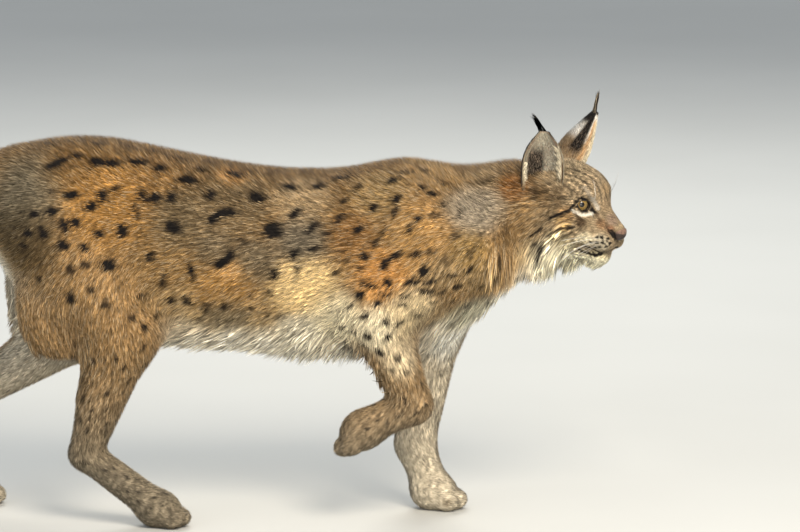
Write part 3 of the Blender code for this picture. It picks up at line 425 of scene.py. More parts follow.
TAIL = Limb((((-0.575, 0.0, 0.485), 0.048), ((-0.640, 0.002, 0.462), 0.038),
             ((-0.690, 0.004, 0.410), 0.034), ((-0.712, 0.005, 0.350), 0.031),
             ((-0.714, 0.005, 0.318), 0.022)))


@dataclass(frozen=True)
class Muscle:
    """A shape of the head, how far it melts in, whether it is paired and whether it is a hollow."""

    shape: Ball | Limb
    blend: float
    paired: bool = False
    hollow: bool = False


@dataclass(frozen=True)
class Head:
    """The head in its own frame: forward, left and up from the point between the eyes."""

    point: Triple = (0.277, -0.041, 0.4667)
    turn: float = 27.0
    nod: float = 10.0
    eye_back: float = -0.007
    eye_apart: float = 0.025
    eye_radius: float = 0.0124
    eye_spread: float = 28.0
    lid_thick: float = 0.0022
    lid_length: float = 0.0122
    lid_height: float = 0.0080
    lid_slant: float = 16.0
    mouth_sweep: float = 84.0
    nose_tip: Triple = (0.0600, 0.0, -0.0350)

    def muscles(self) -> tuple[Muscle, ...]:
        """Skull, brows, cheeks, muzzle, lips, chin, lids and ruff, in the order they melt in."""
        lid = self.eye_radius + self.lid_thick
        return (
            Muscle(Ball((-0.046, 0, 0.006), (0.055, 0.052, 0.050)), 0.0),
            Muscle(Ball((-0.008, 0, 0.010), (0.032, 0.036, 0.034)), 0.020),
            Muscle(Ball((-0.002, 0.025, 0.019), (0.014, 0.014, 0.008)), 0.010, True),
            Muscle(Ball((-0.018, 0.038, -0.026), (0.034, 0.023, 0.028)), 0.020, True),
            Muscle(Ball((-0.034, 0.036, -0.050), (0.034, 0.024, 0.030)), 0.020, True),
            Muscle(Limb((((0.004, 0, -0.008), 0.0225), ((0.045, 0, -0.029), 0.0120))), 0.012),
            Muscle(Ball((0.014, 0.020, -0.038), (0.028, 0.017, 0.022)), 0.010, True),
            Muscle(Ball((0.0090, 0.0360, -0.0015), (0.0165, 0.0160, 0.0140)), 0.007, True, True),
            Muscle(Ball((0.0315, 0.0135, -0.048), (0.0215, 0.0170, 0.0160)), 0.007, True),
            Muscle(Ball((0.0518, 0, -0.033), (0.0075, 0.0115, 0.0095)), 0.005),
            Muscle(Limb((((-0.020, 0, -0.062), 0.0260), ((0.020, 0, -0.068), 0.0170))), 0.014),
            Muscle(Ball((0.026, 0, -0.073), (0.0155, 0.0165, 0.0150)), 0.008),
            Muscle(Ball((self.eye_back, self.eye_apart, 0), (lid, lid, lid)), 0.006, True),
            Muscle(Ball((-0.050, 0.046, -0.046), (0.034, 0.020, 0.048)), 0.018, True),
            Muscle(Ball((-0.036, 0.047, -0.074), (0.020, 0.012, 0.022)), 0.014, True),
        )

    def axes(self) -> Points:
        """Axes as columns: forward, left and up."""
        turn = Matrix.Rotation(math.radians(-self.turn), 3, "Z")
        return np.array(turn @ Matrix.Rotation(math.radians(self.nod), 3, "Y"))

    def matrix(self) -> Matrix:
        """From the head's frame to the body's."""
        return Matrix.Translation(self.point) @ Matrix(self.axes()).to_4x4()

    def inward(self, p: Points) -> Points:
        """Points of the body's frame, in the head's."""
        return (p - np.array(self.point)) @ self.axes()

    def outward(self, q: Iterable[float]) -> Points:
        """Points of the head's frame, in the body's."""
        return np.array(self.point) + np.asarray(q, float) @ self.axes().T

    def distance(self, p: Points) -> Points:
        """Distance of points from the surface, negative inside."""
        q = self.inward(p)
        paired = to_left(q)
        form = None
        for muscle in self.muscles():
            here = muscle.shape.distance(paired if muscle.paired else q)
            if form is None:
                form = here
            elif muscle.hollow:
                form = -smooth_min(-form, here, muscle.blend)
            else:
                form = smooth_min(form, here, muscle.blend)
        return form

    def rough(self, solid: Solid) -> None:
        """Adds the head to a mesh."""
        for muscle in self.muscles():
            if muscle.hollow:
                continue
            muscle.shape.rough(solid, self.matrix())
            if muscle.paired:
                muscle.shape.rough(solid, self.matrix() @ Matrix.Diagonal((1, -1, 1, 1)))

    def way(self, p: Points) -> Points:
        """The lie of the hair: away from the nose, and down over the cheeks."""
        q = self.inward(p)
        way = unit(q - np.array(self.nose_tip))
        cheek = ramp(q[:, 0], 0.01, -0.05) * ramp(q[:, 2], 0.02, -0.02)
        side = np.sign(q[:, 1])
        down = columns(-0.35, 0.18 * side, -0.95)
        way = unit(way * (1 - 0.75 * cheek)[:, None] + down * (0.75 * cheek)[:, None])
        return way @ self.axes().T

    def eye_centre(self, side: Side) -> Points:
        """Middle of an eyeball."""
        return self.outward((self.eye_back, side.value * self.eye_apart, 0))

    def eye_axes(self, side: Side) -> tuple[Vector, Vector, Vector]:
        """Ways across the lids' opening, up it, and out of the eye."""
        spread = math.radians(self.eye_spread) * side.value
        out = Vector(self.axes() @ np.array((math.cos(spread), math.sin(spread), 0.02))).normalized()
        up = Vector(self.axes() @ np.array((0, 0, 1.0)))
        across = up.cross(out).normalized() * side.value
        slant = math.radians(self.lid_slant)
        raised = out.cross(across) * side.value * math.sin(slant)
        lifted = (across * math.cos(slant) + raised).normalized()
        return lifted, out.cross(lifted) * side.value, out

    def lid_scale(self, reach: Points) -> Points:
        """How wide the lids' opening is at a reach from the eye's middle."""
        return 0.85 + (reach - 0.003) * 26.0

    def lid_outline(self, count: int) -> Points:
        """The almond of the lids' opening, as distances across and up."""
        turn = np.arange(count) * 2 * math.pi / count
        high = self.lid_height * np.sin(turn) * np.abs(np.sin(turn))**0.25
        return np.column_stack((self.lid_length * np.cos(turn), high))

    def lid_edge(self, side: Side, radius: float, count: int = 36) -> Points:
        """The edge of the lids where they lie at a radius from the eye's middle."""
        across, up, out = (np.array(axis) for axis in self.eye_axes(side))
        flat = self.lid_outline(count)
        reach = np.full(count, 0.8 * radius)
        for _ in range(20):
            wide = np.linalg.norm(flat * self.lid_scale(reach)[:, None], axis=1)
            reach = (reach + np.sqrt(np.maximum(radius**2 - wide**2, 1e-8))) / 2
        spread = flat * self.lid_scale(reach)[:, None]
        return self.eye_centre(side) + reach[:, None] * out + spread[:, :1] * across + spread[:, 1:] * up

    def mouth_at(self, share: float) -> tuple[float, float, float]:
        """The line between the lips, from one corner (-1) to the other (1): ahead, out and droop."""
        turn = math.radians(self.mouth_sweep * share)
        ahead, out = math.cos(turn), math.sin(turn)
        return ahead, out, -0.0612 - 0.0230 * out**2 + 0.0195 * out**4

    def nose_planes(self) -> list[tuple[Points, Points]]:
        """Edges of the nose leather in the head's frame: a point and the way into it."""
        made = [(np.array((0.0500, 0, -0.034)), np.array((0.97, 0, 0.24))),
                (np.array((0.0545, 0, -0.0262)), np.array((0.60, 0, -0.80))),
                (np.array((0.0560, 0, -0.0435)), np.array((0.25, 0, 0.97)))]
        for side in Side:
            edge = np.array((0.0560, side.value * 0.0118, -0.0400))
            made.append((edge, np.array((0.10, -side.value * 0.93, 0.36))))
        return made

    def on_nose(self, q: Points, margin: float = 0.0) -> Points:
        """Whether points of the head's frame lie in the block of the nose leather."""
        inside = np.ones(len(q), bool)
        for point, way in self.nose_planes():
            inside &= (q - point) @ way > -margin
        return inside

    def bare(self, p: Points) -> Points:
        """Whether no hair stands there: on the nose and on the edges of the lids."""
        made = self.on_nose(self.inward(p), 0.0004)
        for side in Side:
            away = p - self.eye_centre(side)
            across, up, out = (away @ np.array(axis) for axis in self.eye_axes(side))
            scale = self.lid_scale(out) * 1.10
            along = np.clip((across / scale / self.lid_length)**2, 0, 1)
            open_here = np.abs(up / scale) < self.lid_height * (1 - along)**0.625
            made |= open_here & (out > 0.002) & (np.linalg.norm(away, axis=1) < 0.019)
        return made


@dataclass(frozen=True)
class Lynx:
    """The whole animal's form, and what grows from it at each place."""

    trunk: Trunk = Trunk()
    head: Head = Head()
    legs: tuple[Leg, ...] = LEGS
    tail: Limb = TAIL
    leg_blend: float = 0.035
    tail_blend: float = 0.03
    head_blend: float = 0.022
    share_blend: float = 0.010
    slope_step: float = 0.0004

    def distance(self, p: Points) -> Points:
        """Distance of points from the tips of the coat, negative inside."""
        form = smooth_min(self.trunk.distance(p), self.leg_distance(p), self.leg_blend)
        form = smooth_min(form, self.tail.distance(p), self.tail_blend)
        return smooth_min(form, self.head.distance(p), self.head_blend)

    def leg_distance(self, p: Points) -> Points:
        """Distance from the nearest leg."""
        return np.min([leg.distance(p) for leg in self.legs], axis=0)

    def slope(self, p: Points) -> Points:
        """The way out of the form at each point, at length one."""
        value = self.distance(p)
        steps = self.slope_step * np.eye(3)
        return unit(np.stack([self.distance(p + step) - value for step in steps], axis=1))

    def settled(self, p: Points, rounds: int) -> Points:
        """Points moved onto the form."""
        for _ in range(rounds):
            p = p - self.slope(p) * self.distance(p)[:, None]
        return p

    def shares(self, p: Points) -> dict[str, Points]:
        """How much of each place belongs to trunk, legs, paws, tail and head."""
        away = {"trunk": self.trunk.distance(p), "tail": self.tail.distance(p),
                "head": self.head.distance(p) - 0.004}
        for leg in self.legs:
            away[leg.name] = leg.upper(p)
            away[leg.paw_name] = leg.paw.distance(p)
        nearest = np.min(list(away.values()), axis=0)
        weight = {name: np.exp(-(here - nearest) / self.share_blend) for name, here in away.items()}
        total = sum(weight.values())
        return {name: here / total for name, here in weight.items()}

    def blend(self, shares: dict[str, Points], trunk: Points | float, leg: Points | float,
              paw: float, tail: float, head: Points) -> Points:
        """One value from the values of the parts."""
        total = trunk * shares["trunk"] + tail * shares["tail"] + head * shares["head"]
        for one in self.legs:
            total = total + leg * shares[one.name] + paw * shares[one.paw_name]
        return total

    def depth(self, p: Points, shares: dict[str, Points]) -> Points:
        """How far the skin lies inside the tips of the coat."""
        q = self.head.inward(p)
        face = curve_through(q[:, 0], (-0.09, -0.05, -0.015, 0.01, 0.03),
                             (0.0090, 0.0060, 0.0028, 0.0014, 0.0011))
        eye = to_left(q) - (self.head.eye_back, self.head.eye_apart, 0)
        lid = ramp(np.linalg.norm(eye, axis=1), 0.0155, 0.024)
        face = 0.0007 * (1 - lid) + face * lid
        leg = 0.0040 + 0.0035 * ramp(p[:, 2], 0.14, 0.34)
        trunk = 0.0090 + 0.0020 * ramp(p[:, 0], 0.02, 0.12)
        return self.blend(shares, trunk, leg, 0.0028, 0.0090, face)

    def lie(self, p: Points, normals: Points, shares: dict[str, Points]) -> Points:
        """The way that the coat lies on the surface, at length one."""
        steep = 1 - np.abs(normals[:, 2])
        neck = ramp(p[:, 0], 0.00, 0.16)
        front = ramp(normals[:, 0], 0.15, 0.60) * ramp(p[:, 0], 0.02, 0.10)
        trunk = columns(-1.0 + 0.65 * front, 0.0, -0.22 * steep - 0.40 * neck * steep - 0.9 * front)
        total = trunk * shares["trunk"][:, None]
        total += self.tail.way(p) * shares["tail"][:, None]
        total += self.head.way(p) * shares["head"][:, None]
        high = ramp(p[:, 2], 0.27, 0.38)[:, None]
        backward = covered((-0.50, 0, -0.86), ramp(p[:, 2], 0.36, 0.50), (-1.0, 0, -0.15))
        for leg in self.legs:
            upper = leg.chain.way(p) * (1 - high) + backward * high
            total += upper * shares[leg.name][:, None]
            total += np.array(leg.paw.forward) * 0.9 * shares[leg.paw_name][:, None]
            total[:, 2] -= 0.25 * shares[leg.paw_name]
        across = np.cross(normals, total)
        total += across * (0.10 * waves(p, 0.070, 5) + 0.05 * waves(p, 0.025, 6))[:, None]
        total -= normals * (total * normals).sum(axis=1)[:, None]
        return unit(total)

    def seen_at(self, pixels: Points) -> Points:
        """Points of the body's surface that the photo shows at its pixels."""
        rise = math.radians(CAMERA_HEIGHT)
        ahead = np.array((0, math.cos(rise), -math.sin(rise)))
        up = np.array((0, math.sin(rise), math.cos(rise)))
        eye = LOOK_AT - ahead * CAMERA_AWAY
        across = (pixels[:, 0] - PHOTO_MIDDLE[0]) * PIXEL
        high = (PHOTO_MIDDLE[1] - pixels[:, 1]) * PIXEL
        rays = unit(ahead * CAMERA_AWAY + across[:, None] * np.array((1.0, 0, 0)) + high[:, None] * up)
        reach = np.full(len(pixels), CAMERA_AWAY - 0.30)
        for _ in range(60):
            reach = reach + np.clip(self.distance(eye + rays * reach[:, None]), -0.01, 0.05) * 0.7
        return eye + rays * reach[:, None]


def put(name: str, data: bpy.types.ID) -> bpy.types.Object:
    """A new object in the scene."""
    made = bpy.data.objects.new(name, data)
    bpy.context.scene.collection.objects.link(made)
    return made


def vertex_points(mesh: Mesh) -> Points:
    """A mesh's points as an array."""
    flat = np.empty(len(mesh.vertices) * 3)
    mesh.vertices.foreach_get("co", flat)
    return flat.reshape(-1, 3)


def evaluated(mesh: Mesh, prepare: Callable[[bpy.types.Object], None]) -> Mesh:
    """A mesh with modifiers applied.

    Args:
        mesh: The mesh, which is removed.
        prepare: Adds the modifiers to a holder object.

    Returns:
        The finished mesh.
    """
    holder = put("holder", mesh)
    prepare(holder)
    graph = bpy.context.evaluated_depsgraph_get()
    done = bpy.data.meshes.new_from_object(holder.evaluated_get(graph))
    bpy.data.objects.remove(holder)
    bpy.data.meshes.remove(mesh)
    return done


def colour_attribute(mesh: Mesh, colours: Points | Triple) -> None:
    """Stores one colour for each of a mesh's points, or one for them all."""
    layer = mesh.color_attributes.new("coat", "FLOAT_COLOR", "POINT")
    full = np.ones((len(mesh.vertices), 4), np.float32)
    full[:, :3] = colours
    layer.data.foreach_set("color", full.ravel())


def arithmetic(operation: str, reflected: bool = False) -> Callable[..., "Socket"]:
    """An operator method that adds one Math node, with its values swapped where it is reflected."""
    def method(self: "Socket", other: "Socket | float") -> "Socket":
        """The Math node's output."""
        return self.math(operation, *((other, self) if reflected else (self, other)))

    return method


class Socket:
    """A node's output whose arithmetic adds Math nodes."""

    def __init__(self, shader: "Shader", socket: bpy.types.NodeSocket) -> None:
        """Wraps an output socket."""
        self.shader = shader
        self.socket = socket

    def math(self, operation: str, *values: "Socket | float") -> "Socket":
        """A Math node on these values."""
        return self.shader.node("ShaderNodeMath", {"operation": operation}, dict(enumerate(values)))

    __add__ = __radd__ = arithmetic("ADD")
    __mul__ = __rmul__ = arithmetic("MULTIPLY")
    __sub__ = arithmetic("SUBTRACT")
    __rsub__ = arithmetic("SUBTRACT", True)
    __truediv__ = arithmetic("DIVIDE")
    __rtruediv__ = arithmetic("DIVIDE", True)
    __pow__ = arithmetic("POWER")

    def ramp(self, start: float, end: float) -> "Socket":
        """Smooth step from 0 at start to 1 at end."""
        return self.shader.node("ShaderNodeMapRange", {"interpolation_type": "SMOOTHSTEP"},
                                {0: self, 1: start, 2: end, 3: 0.0, 4: 1.0})


class Shader:
    """One material's nodes."""

    def __init__(self, name: str) -> None:
        """Starts a material with its Principled shader."""
        self.material = bpy.data.materials.new(name)
        self.material.use_nodes = True
        self.tree = self.material.node_tree
        self.principled = self.tree.nodes["Principled BSDF"]

    def node(self, kind: str, settings: dict[str, object] | None = None,
             inputs: dict[int | str, "Socket | float | tuple"] | None = None,
             output: int | str = 0) -> Socket:
        """Adds a node.

        Args:
            kind: The node's type.
            settings: Its properties, set first.
            inputs: Values or links of its sockets, by number or name.
            output: Which output to return.

        Returns:
            The chosen output.
        """
        made = self.tree.nodes.new(kind)
        for key, value in (settings or {}).items():
            setattr(made, key, value)
        for key, value in (inputs or {}).items():
            self.feed(made.inputs[key], value)
        return Socket(self, made.outputs[output])

    def feed(self, socket: bpy.types.NodeSocket, value: "Socket | float | tuple") -> None:
        """Links or sets one input."""
        if isinstance(value, Socket):
            self.tree.links.new(value.socket, socket)
        else:
            socket.default_value = value

    def mix(self, share: "Socket | float", first: "Socket | tuple", second: "Socket | tuple",
            blend: str = "MIX") -> Socket:
        """Colour from two colours."""
        made = self.tree.nodes.new("ShaderNodeMix")
        made.data_type = "RGBA"
        made.blend_type = blend
        for socket, value in ((made.inputs[0], share), (made.inputs[6], first), (made.inputs[7], second)):
            self.feed(socket, value)
        return Socket(self, made.outputs[2])

    def noise(self, scale: float, detail: float = 3.0, vector: Socket | None = None) -> Socket:
        """Noise on the object's own coordinates."""
        inputs: dict[int | str, Socket | float] = {"Scale": scale, "Detail": detail}
        inputs["Vector"] = vector or self.place()
        return self.node("ShaderNodeTexNoise", None, inputs)

    def place(self) -> Socket:
        """The object's own coordinates."""
        return self.node("ShaderNodeTexCoord", output="Object")

    def coat(self) -> Socket:
        """The colours stored with the mesh."""
        return self.node("ShaderNodeAttribute", {"attribute_name": "coat"})

    def bump(self, height: Socket, strength: float, distance: float) -> Socket:
        """A bumped normal."""
        return self.node("ShaderNodeBump", None,
                         {"Height": height, "Strength": strength, "Distance": distance})

    def set(self, **values: "Socket | float | tuple") -> "Shader":
        """Sets the Principled shader's sockets, with _ for each blank of their names."""
        for name, value in values.items():
            self.feed(self.principled.inputs[name.replace("_", " ")], value)
        return self


@dataclass(frozen=True)
class FurFinish:
    """Soft hair: the colour of each tuft with a fine grain, and no hard gloss."""

    name: str
    roughness: float = 0.70
    sheen: float = 0.02
    specular: float = 0.12

    def make(self) -> Material:
        """The material."""
        shader = Shader(self.name)
        grain = shader.noise(420.0, 2.0)
        tone = shader.mix((grain - 0.5) * 0.5 + 0.5, (0.86, 0.86, 0.86, 1), (1.14, 1.14, 1.14, 1))
        shader.set(Base_Color=shader.mix(1.0, shader.coat(), tone, "MULTIPLY"), Roughness=self.roughness,
                   Sheen_Weight=self.sheen, Sheen_Roughness=0.5, Specular_IOR_Level=self.specular)
        return shader.material


@dataclass(frozen=True)
class SkinFinish:
    """Short under-fur on the skin, as fine bump along the same markings."""

    name: str = "underfur"

    def make(self) -> Material:
        """The material."""
        shader = Shader(self.name)
        shader.set(Base_Color=shader.coat(), Roughness=0.85, Specular_IOR_Level=0.15,
                   Normal=shader.bump(shader.noise(900.0, 4.0), 0.6, 0.0008))
        return shader.material


@dataclass(frozen=True)
class EyeFinish:
    """Wet eye: a black pupil, fibres of the iris and a dark ring round it."""

    centre: Points
    axes: tuple[Points, Points]
    iris: float = 0.0090
    pupil: float = 0.0040

    def make(self) -> Material:
        """The material."""
        shader = Shader("eye")
        away = shader.node("ShaderNodeVectorMath", {"operation": "SUBTRACT"},
                           {0: shader.place(), 1: tuple(self.centre + BODY_SHIFT)})
        across, up = (shader.node("ShaderNodeVectorMath", {"operation": "DOT_PRODUCT"},
                                  {0: away, 1: tuple(axis)}, "Value") for axis in self.axes)
        radius = (across * across + up * up) ** 0.5
        spoke = shader.node("ShaderNodeCombineXYZ", None,
                            {0: across / radius, 1: up / radius, 2: radius * 40.0})
        fibre = shader.noise(9.0, 3.0, spoke)
        inner = shader.mix(radius.ramp(self.pupil, self.iris * 0.85), (0.17, 0.09, 0.018, 1),
                           (0.11, 0.078, 0.024, 1))
        iris = shader.mix(fibre.ramp(0.36, 0.62), inner, (0.23, 0.158, 0.052, 1))
        ringed = shader.mix(radius.ramp(self.iris * 0.86, self.iris), iris, (0.018, 0.013, 0.010, 1))
        colour = shader.mix(radius.ramp(self.pupil * 0.85, self.pupil * 1.1), (0.002, 0.002, 0.002, 1),
                            ringed)
        shader.set(Base_Color=colour, Roughness=0.12, Coat_Weight=0.45, Coat_Roughness=0.02,
                   Specular_IOR_Level=0.2)
        return shader.material


@dataclass(frozen=True)
class LeatherFinish:
    """Bare pebbled skin of the nose and the lids."""

    name: str
    dark: Triple
    roughness: float
    pebble: float = 1500.0

    def make(self) -> Material:
        """The material."""
        shader = Shader(self.name)
        cells = shader.node("ShaderNodeTexVoronoi", {"feature": "DISTANCE_TO_EDGE"},
                            {"Vector": shader.place(), "Scale": self.pebble})
        blotch = shader.noise(260.0, 3.0)
        deep = shader.mix(blotch.ramp(0.35, 0.70) * 0.6, shader.coat(), (*self.dark, 1))
        # Painted shade: the seams between the pebbles take the dark colour, as shade in the creases.
        tone = shader.mix(cells.ramp(0.0, 0.10), (*self.dark, 1), deep)
        shader.set(Base_Color=tone, Roughness=self.roughness, Specular_IOR_Level=0.3,
                   Normal=shader.bump(cells.ramp(0.0, 0.25), 0.5, 0.00025))
        return shader.material


@dataclass
class Tuft:
    """Arrays of one group of hairs.

    Each path runs from root to tip. The widths, normals and map places hold one row for each hair,
    and the colours one for each point of each path.
    """

    paths: Points
    widths: Points
    normals: Points
    colours: Points
    chart: Points


def tuft_mesh(name: str, tufts: Tuft, thickness: float = 0.42) -> Mesh:
    """Closed three-sided blades along the paths, joined in one mesh.

    Args:
        name: The mesh's name.
        tufts: The hairs.
        thickness: Share of a hair's width that it is thick.

    Returns:
        The mesh, with its colours and its bake map.
    """
    paths = tufts.paths
    count, stations = paths.shape[:2]
    steps = stations - 1
    ways = unit(np.gradient(paths, axis=1))
    normals = np.repeat(tufts.normals[:, None], stations, axis=1)
    across = unit(np.cross(ways, normals))
    upward = np.cross(across, ways)
    share = np.arange(steps) / steps
    swell = (0.55 + 0.90 * share) * (1 - share**2.2 * 0.55)
    half = (tufts.widths[:, None] * swell)[:, :, None] / 2
    rings = paths[:, :-1]
    corners = np.stack((rings - across[:, :-1] * half, rings + across[:, :-1] * half,
                        rings + upward[:, :-1] * half * 2 * thickness), axis=2)
    points = np.concatenate((corners.reshape(count, steps * 3, 3), paths[:, -1:]), axis=1)
    pattern = [(0, 1, 2)]
    for ring in range(steps - 1):
        for a, b in ((0, 1), (1, 2), (2, 0)):
            low, high = ring * 3, ring * 3 + 3
            pattern += [(low + b, low + a, high + a), (low + b, high + a, high + b)]
    top, last = (steps - 1) * 3, steps * 3
    pattern += [(top + 1, top, last), (top + 2, top + 1, last), (top, top + 2, last)]
    single = np.array(pattern)
    per_hair = steps * 3 + 1
    faces = (single[None] + (np.arange(count) * per_hair)[:, None, None]).reshape(-1, 3)
    mesh = mesh_of(name, points.reshape(-1, 3), faces)
    bare = np.repeat(tufts.normals, per_hair, axis=0)
    mesh.normals_split_custom_set_from_vertices(bare.tolist())
    colours = np.concatenate((np.repeat(tufts.colours[:, :-1], 3, axis=1), tufts.colours[:, -1:]),
                             axis=1)
    colour_attribute(mesh, colours.reshape(-1, 3))
    inside = np.array([(corner / 2, ring / steps) for ring in range(steps) for corner in (0, 2, 1)]
                      + [(0.5, 1.0)]) * BAKE_PATCH
    chart = (tufts.chart[:, None] + inside[None]).reshape(-1, 2)
    layer = mesh.uv_layers.new(name="OFBake")
    layer.data.foreach_set("uv", chart[faces.ravel()].astype(np.float32).ravel())
    return mesh


def mesh_of(name: str, points: Points, faces: Points) -> Mesh:
    """A smooth mesh from arrays of points and triangles."""
    mesh = bpy.data.meshes.new(name)
    mesh.vertices.add(len(points))
    mesh.vertices.foreach_set("co", points.astype(np.float32).ravel())
    mesh.loops.add(faces.size)
    mesh.loops.foreach_set("vertex_index", faces.astype(np.int32).ravel())
    mesh.polygons.add(len(faces))
    mesh.polygons.foreach_set("loop_start", np.arange(0, faces.size, 3, dtype=np.int32))
    mesh.update(calc_edges=True)
    mesh.shade_smooth()
    return mesh


def finished(solid: Solid, name: str) -> Mesh:
    """Turns a bmesh into a smooth mesh."""
    mesh = bpy.data.meshes.new(name)
    solid.to_mesh(mesh)
    solid.free()
    mesh.shade_smooth()
    return mesh


@contextmanager
def opened(mesh: Mesh) -> Iterator[Solid]:
    """A mesh open for bmesh operators, and written back after them."""
    solid = bmesh.new()
    solid.from_mesh(mesh)
    yield solid
    solid.to_mesh(mesh)
    solid.free()


def lofted(loops: Iterable[Iterable[Points]]) -> Mesh:
    """A closed solid through loops of points."""
    solid = bmesh.new()
    edges = []
    for loop in loops:
        ring = [solid.verts.new(point) for point in loop]
        edges += [solid.edges.new((ring[i], ring[i - 1])) for i in range(len(ring))]
    bmesh.ops.bridge_loops(solid, edges=edges)
    bmesh.ops.holes_fill(solid, edges=solid.edges)
    bmesh.ops.recalc_face_normals(solid, faces=solid.faces)
    return finished(solid, "loft")


def ball_mesh(centre: Points, radius: float, fineness: int) -> Mesh:
    """A ball."""
    solid = bmesh.new()
    add_ball(solid, fineness, Matrix.Translation(Vector(centre)), radius)
    return finished(solid, "ball")


def loop_tube(places: Points, radii: Points, name: str) -> Mesh:
    """A round tube through a closed loop of places."""
    solid = bmesh.new()
    count = len(places)
    rings = []
    for index, (place, radius) in enumerate(zip(places, radii)):
        turn = turned_to(places[(index + 1) % count] - places[index - 1])
        ring = bmesh.ops.create_circle(solid, segments=8, radius=radius,
                                       matrix=Matrix.Translation(Vector(place)) @ turn)["verts"]
        rings += list({edge for vert in ring for edge in vert.link_edges})
    bmesh.ops.bridge_loops(solid, edges=rings, use_cyclic=True)
    bmesh.ops.holes_fill(solid, edges=solid.edges)
    bmesh.ops.recalc_face_normals(solid, faces=solid.faces)
    return finished(solid, name)


def carved(mesh: Mesh, tools: list[Mesh]) -> Mesh:
    """The mesh with the tools' shapes cut out of it."""
    group = bpy.data.collections.new("tools")
    bpy.context.scene.collection.children.link(group)
    held = [bpy.data.objects.new("tool", tool) for tool in tools]
    for tool in held:
        group.objects.link(tool)

    def prepare(holder: bpy.types.Object) -> None:
        """Cuts with the whole group."""
        cut = holder.modifiers.new("Carved", "BOOLEAN")
        cut.operand_type = "COLLECTION"
        cut.collection = group
        cut.solver = "MANIFOLD"

    done = evaluated(mesh, prepare)
    for tool in held:
        bpy.data.meshes.remove(tool.data)
    bpy.data.collections.remove(group)
    done.materials.clear()
    return done


def largest(mesh: Mesh) -> Mesh:
    """The mesh with only its largest closed surface left."""
    with opened(mesh) as solid:
        left, best = set(solid.verts), set()
        while left:
            found, edge = set(), [left.pop()]
            while edge:
                vert = edge.pop()
                found.add(vert)
                near = {link.other_vert(vert) for link in vert.link_edges} & left
                left -= near
                edge += near
            best = max(best, found, key=len)
        stray = [vert for vert in solid.verts if vert not in best]
        bmesh.ops.delete(solid, geom=stray, context="VERTS")
    mesh.shade_smooth()
    return mesh


@dataclass
class Skin:
    """One skin for the whole body, with its eye sockets and mouth."""

    lynx: Lynx
    cell: float = 0.0052
    socket_gap: float = 0.0004
    reach: float = 0.02
    mesh: Mesh | None = None

    def level(self, p: Points) -> Points:
        """Distance from the skin."""
        return self.lynx.distance(p) + self.lynx.depth(p, self.lynx.shares(p))

    def build(self) -> None:
        """Models the muscles, melts them into one skin and lays it under the coat."""
        solid = bmesh.new()
        self.lynx.trunk.rough(solid)
        self.lynx.head.rough(solid)
        self.lynx.tail.rough(solid, Matrix())
        for leg in self.lynx.legs:
            leg.rough(solid)
        mesh = evaluated(finished(solid, "skin"), self.melt)
        self.settle(mesh, 4)
        self.refine(mesh)
        self.settle(mesh, 2)
        head = self.lynx.head
        tools = [self.mouth()]
        for side in Side:
            hollow = ball_mesh(head.eye_centre(side), head.eye_radius + self.socket_gap, 4)
            tools += [self.socket(side), hollow]
        self.mesh = largest(carved(mesh, tools))

    def mouth(self) -> Mesh:
        """A wedge bent round the muzzle that opens the line between the lips."""
        head = self.lynx.head
        loops = []
        for share in np.linspace(-1, 1, 25):
            ahead, out, droop = head.mouth_at(share)
            corners = ((0.002 + 0.0330 * ahead, 0.0215 * out, droop),
                       (0.002 + 0.0620 * ahead, 0.0400 * out, droop - 0.0012),
                       (0.002 + 0.0620 * ahead, 0.0400 * out, droop + 0.0016))
            loops.append([head.outward(corner) for corner in corners])
        return lofted(loops)

    def socket(self, side: Side) -> Mesh:
        """The opening between the lids, as a block that runs outwards from the eye's middle."""
        head = self.lynx.head
        across, up, out = (np.array(axis) for axis in head.eye_axes(side))
        loops = []
        for reach in (0.003, 0.026):
            flat = head.lid_outline(32) * head.lid_scale(reach)
            loops.append([head.eye_centre(side) + out * reach + across * x + up * y for x, y in flat])
        return lofted(loops)

    def laid(self, p: Points) -> Points:
        """Points moved onto the skin."""
        return p - self.lynx.slope(p) * np.clip(self.level(p), -self.reach, self.reach)[:, None]

    def melt(self, holder: bpy.types.Object) -> None:
        """One even surface round all the muscles."""
        melted = holder.modifiers.new("Melted", "REMESH")
        melted.mode = "VOXEL"
        melted.voxel_size = self.cell

    def settle(self, mesh: Mesh, rounds: int) -> None:
        """Lays the mesh's points on the skin, and evens them out."""
        for _ in range(rounds):
            with opened(mesh) as solid:
                for _ in range(2):
                    bmesh.ops.smooth_vert(solid, verts=solid.verts, factor=0.5, use_axis_x=True,
                                          use_axis_y=True, use_axis_z=True)
            mesh.vertices.foreach_set("co", in_blocks(self.laid, vertex_points(mesh)).ravel())
            mesh.update()

    def refine(self, mesh: Mesh) -> None:
        """Cuts the face's cells finer."""
        with opened(mesh) as solid:
            for limit in (-0.055, -0.030):
                q = self.lynx.head.inward(np.array([v.co for v in solid.verts]))
                near = (np.abs(q - (0, 0, -0.03)) < (9, 0.075, 0.08)).all(axis=1) & (q[:, 0] > limit)
                face = [edge for edge in solid.edges if all(near[v.index] for v in edge.verts)]
                bmesh.ops.subdivide_edges(solid, edges=face, cuts=1, use_grid_fill=True)
                bmesh.ops.triangulate(solid, faces=[f for f in solid.faces if len(f.verts) > 4])
                solid.verts.index_update()


@dataclass(frozen=True)
class Patch:
    """A soft patch of colour: its middle and reach in the photo's pixels, and how strong it is."""

    across: float
    down: float
    reach: float
    colour: Triple
    strength: float = 1.0


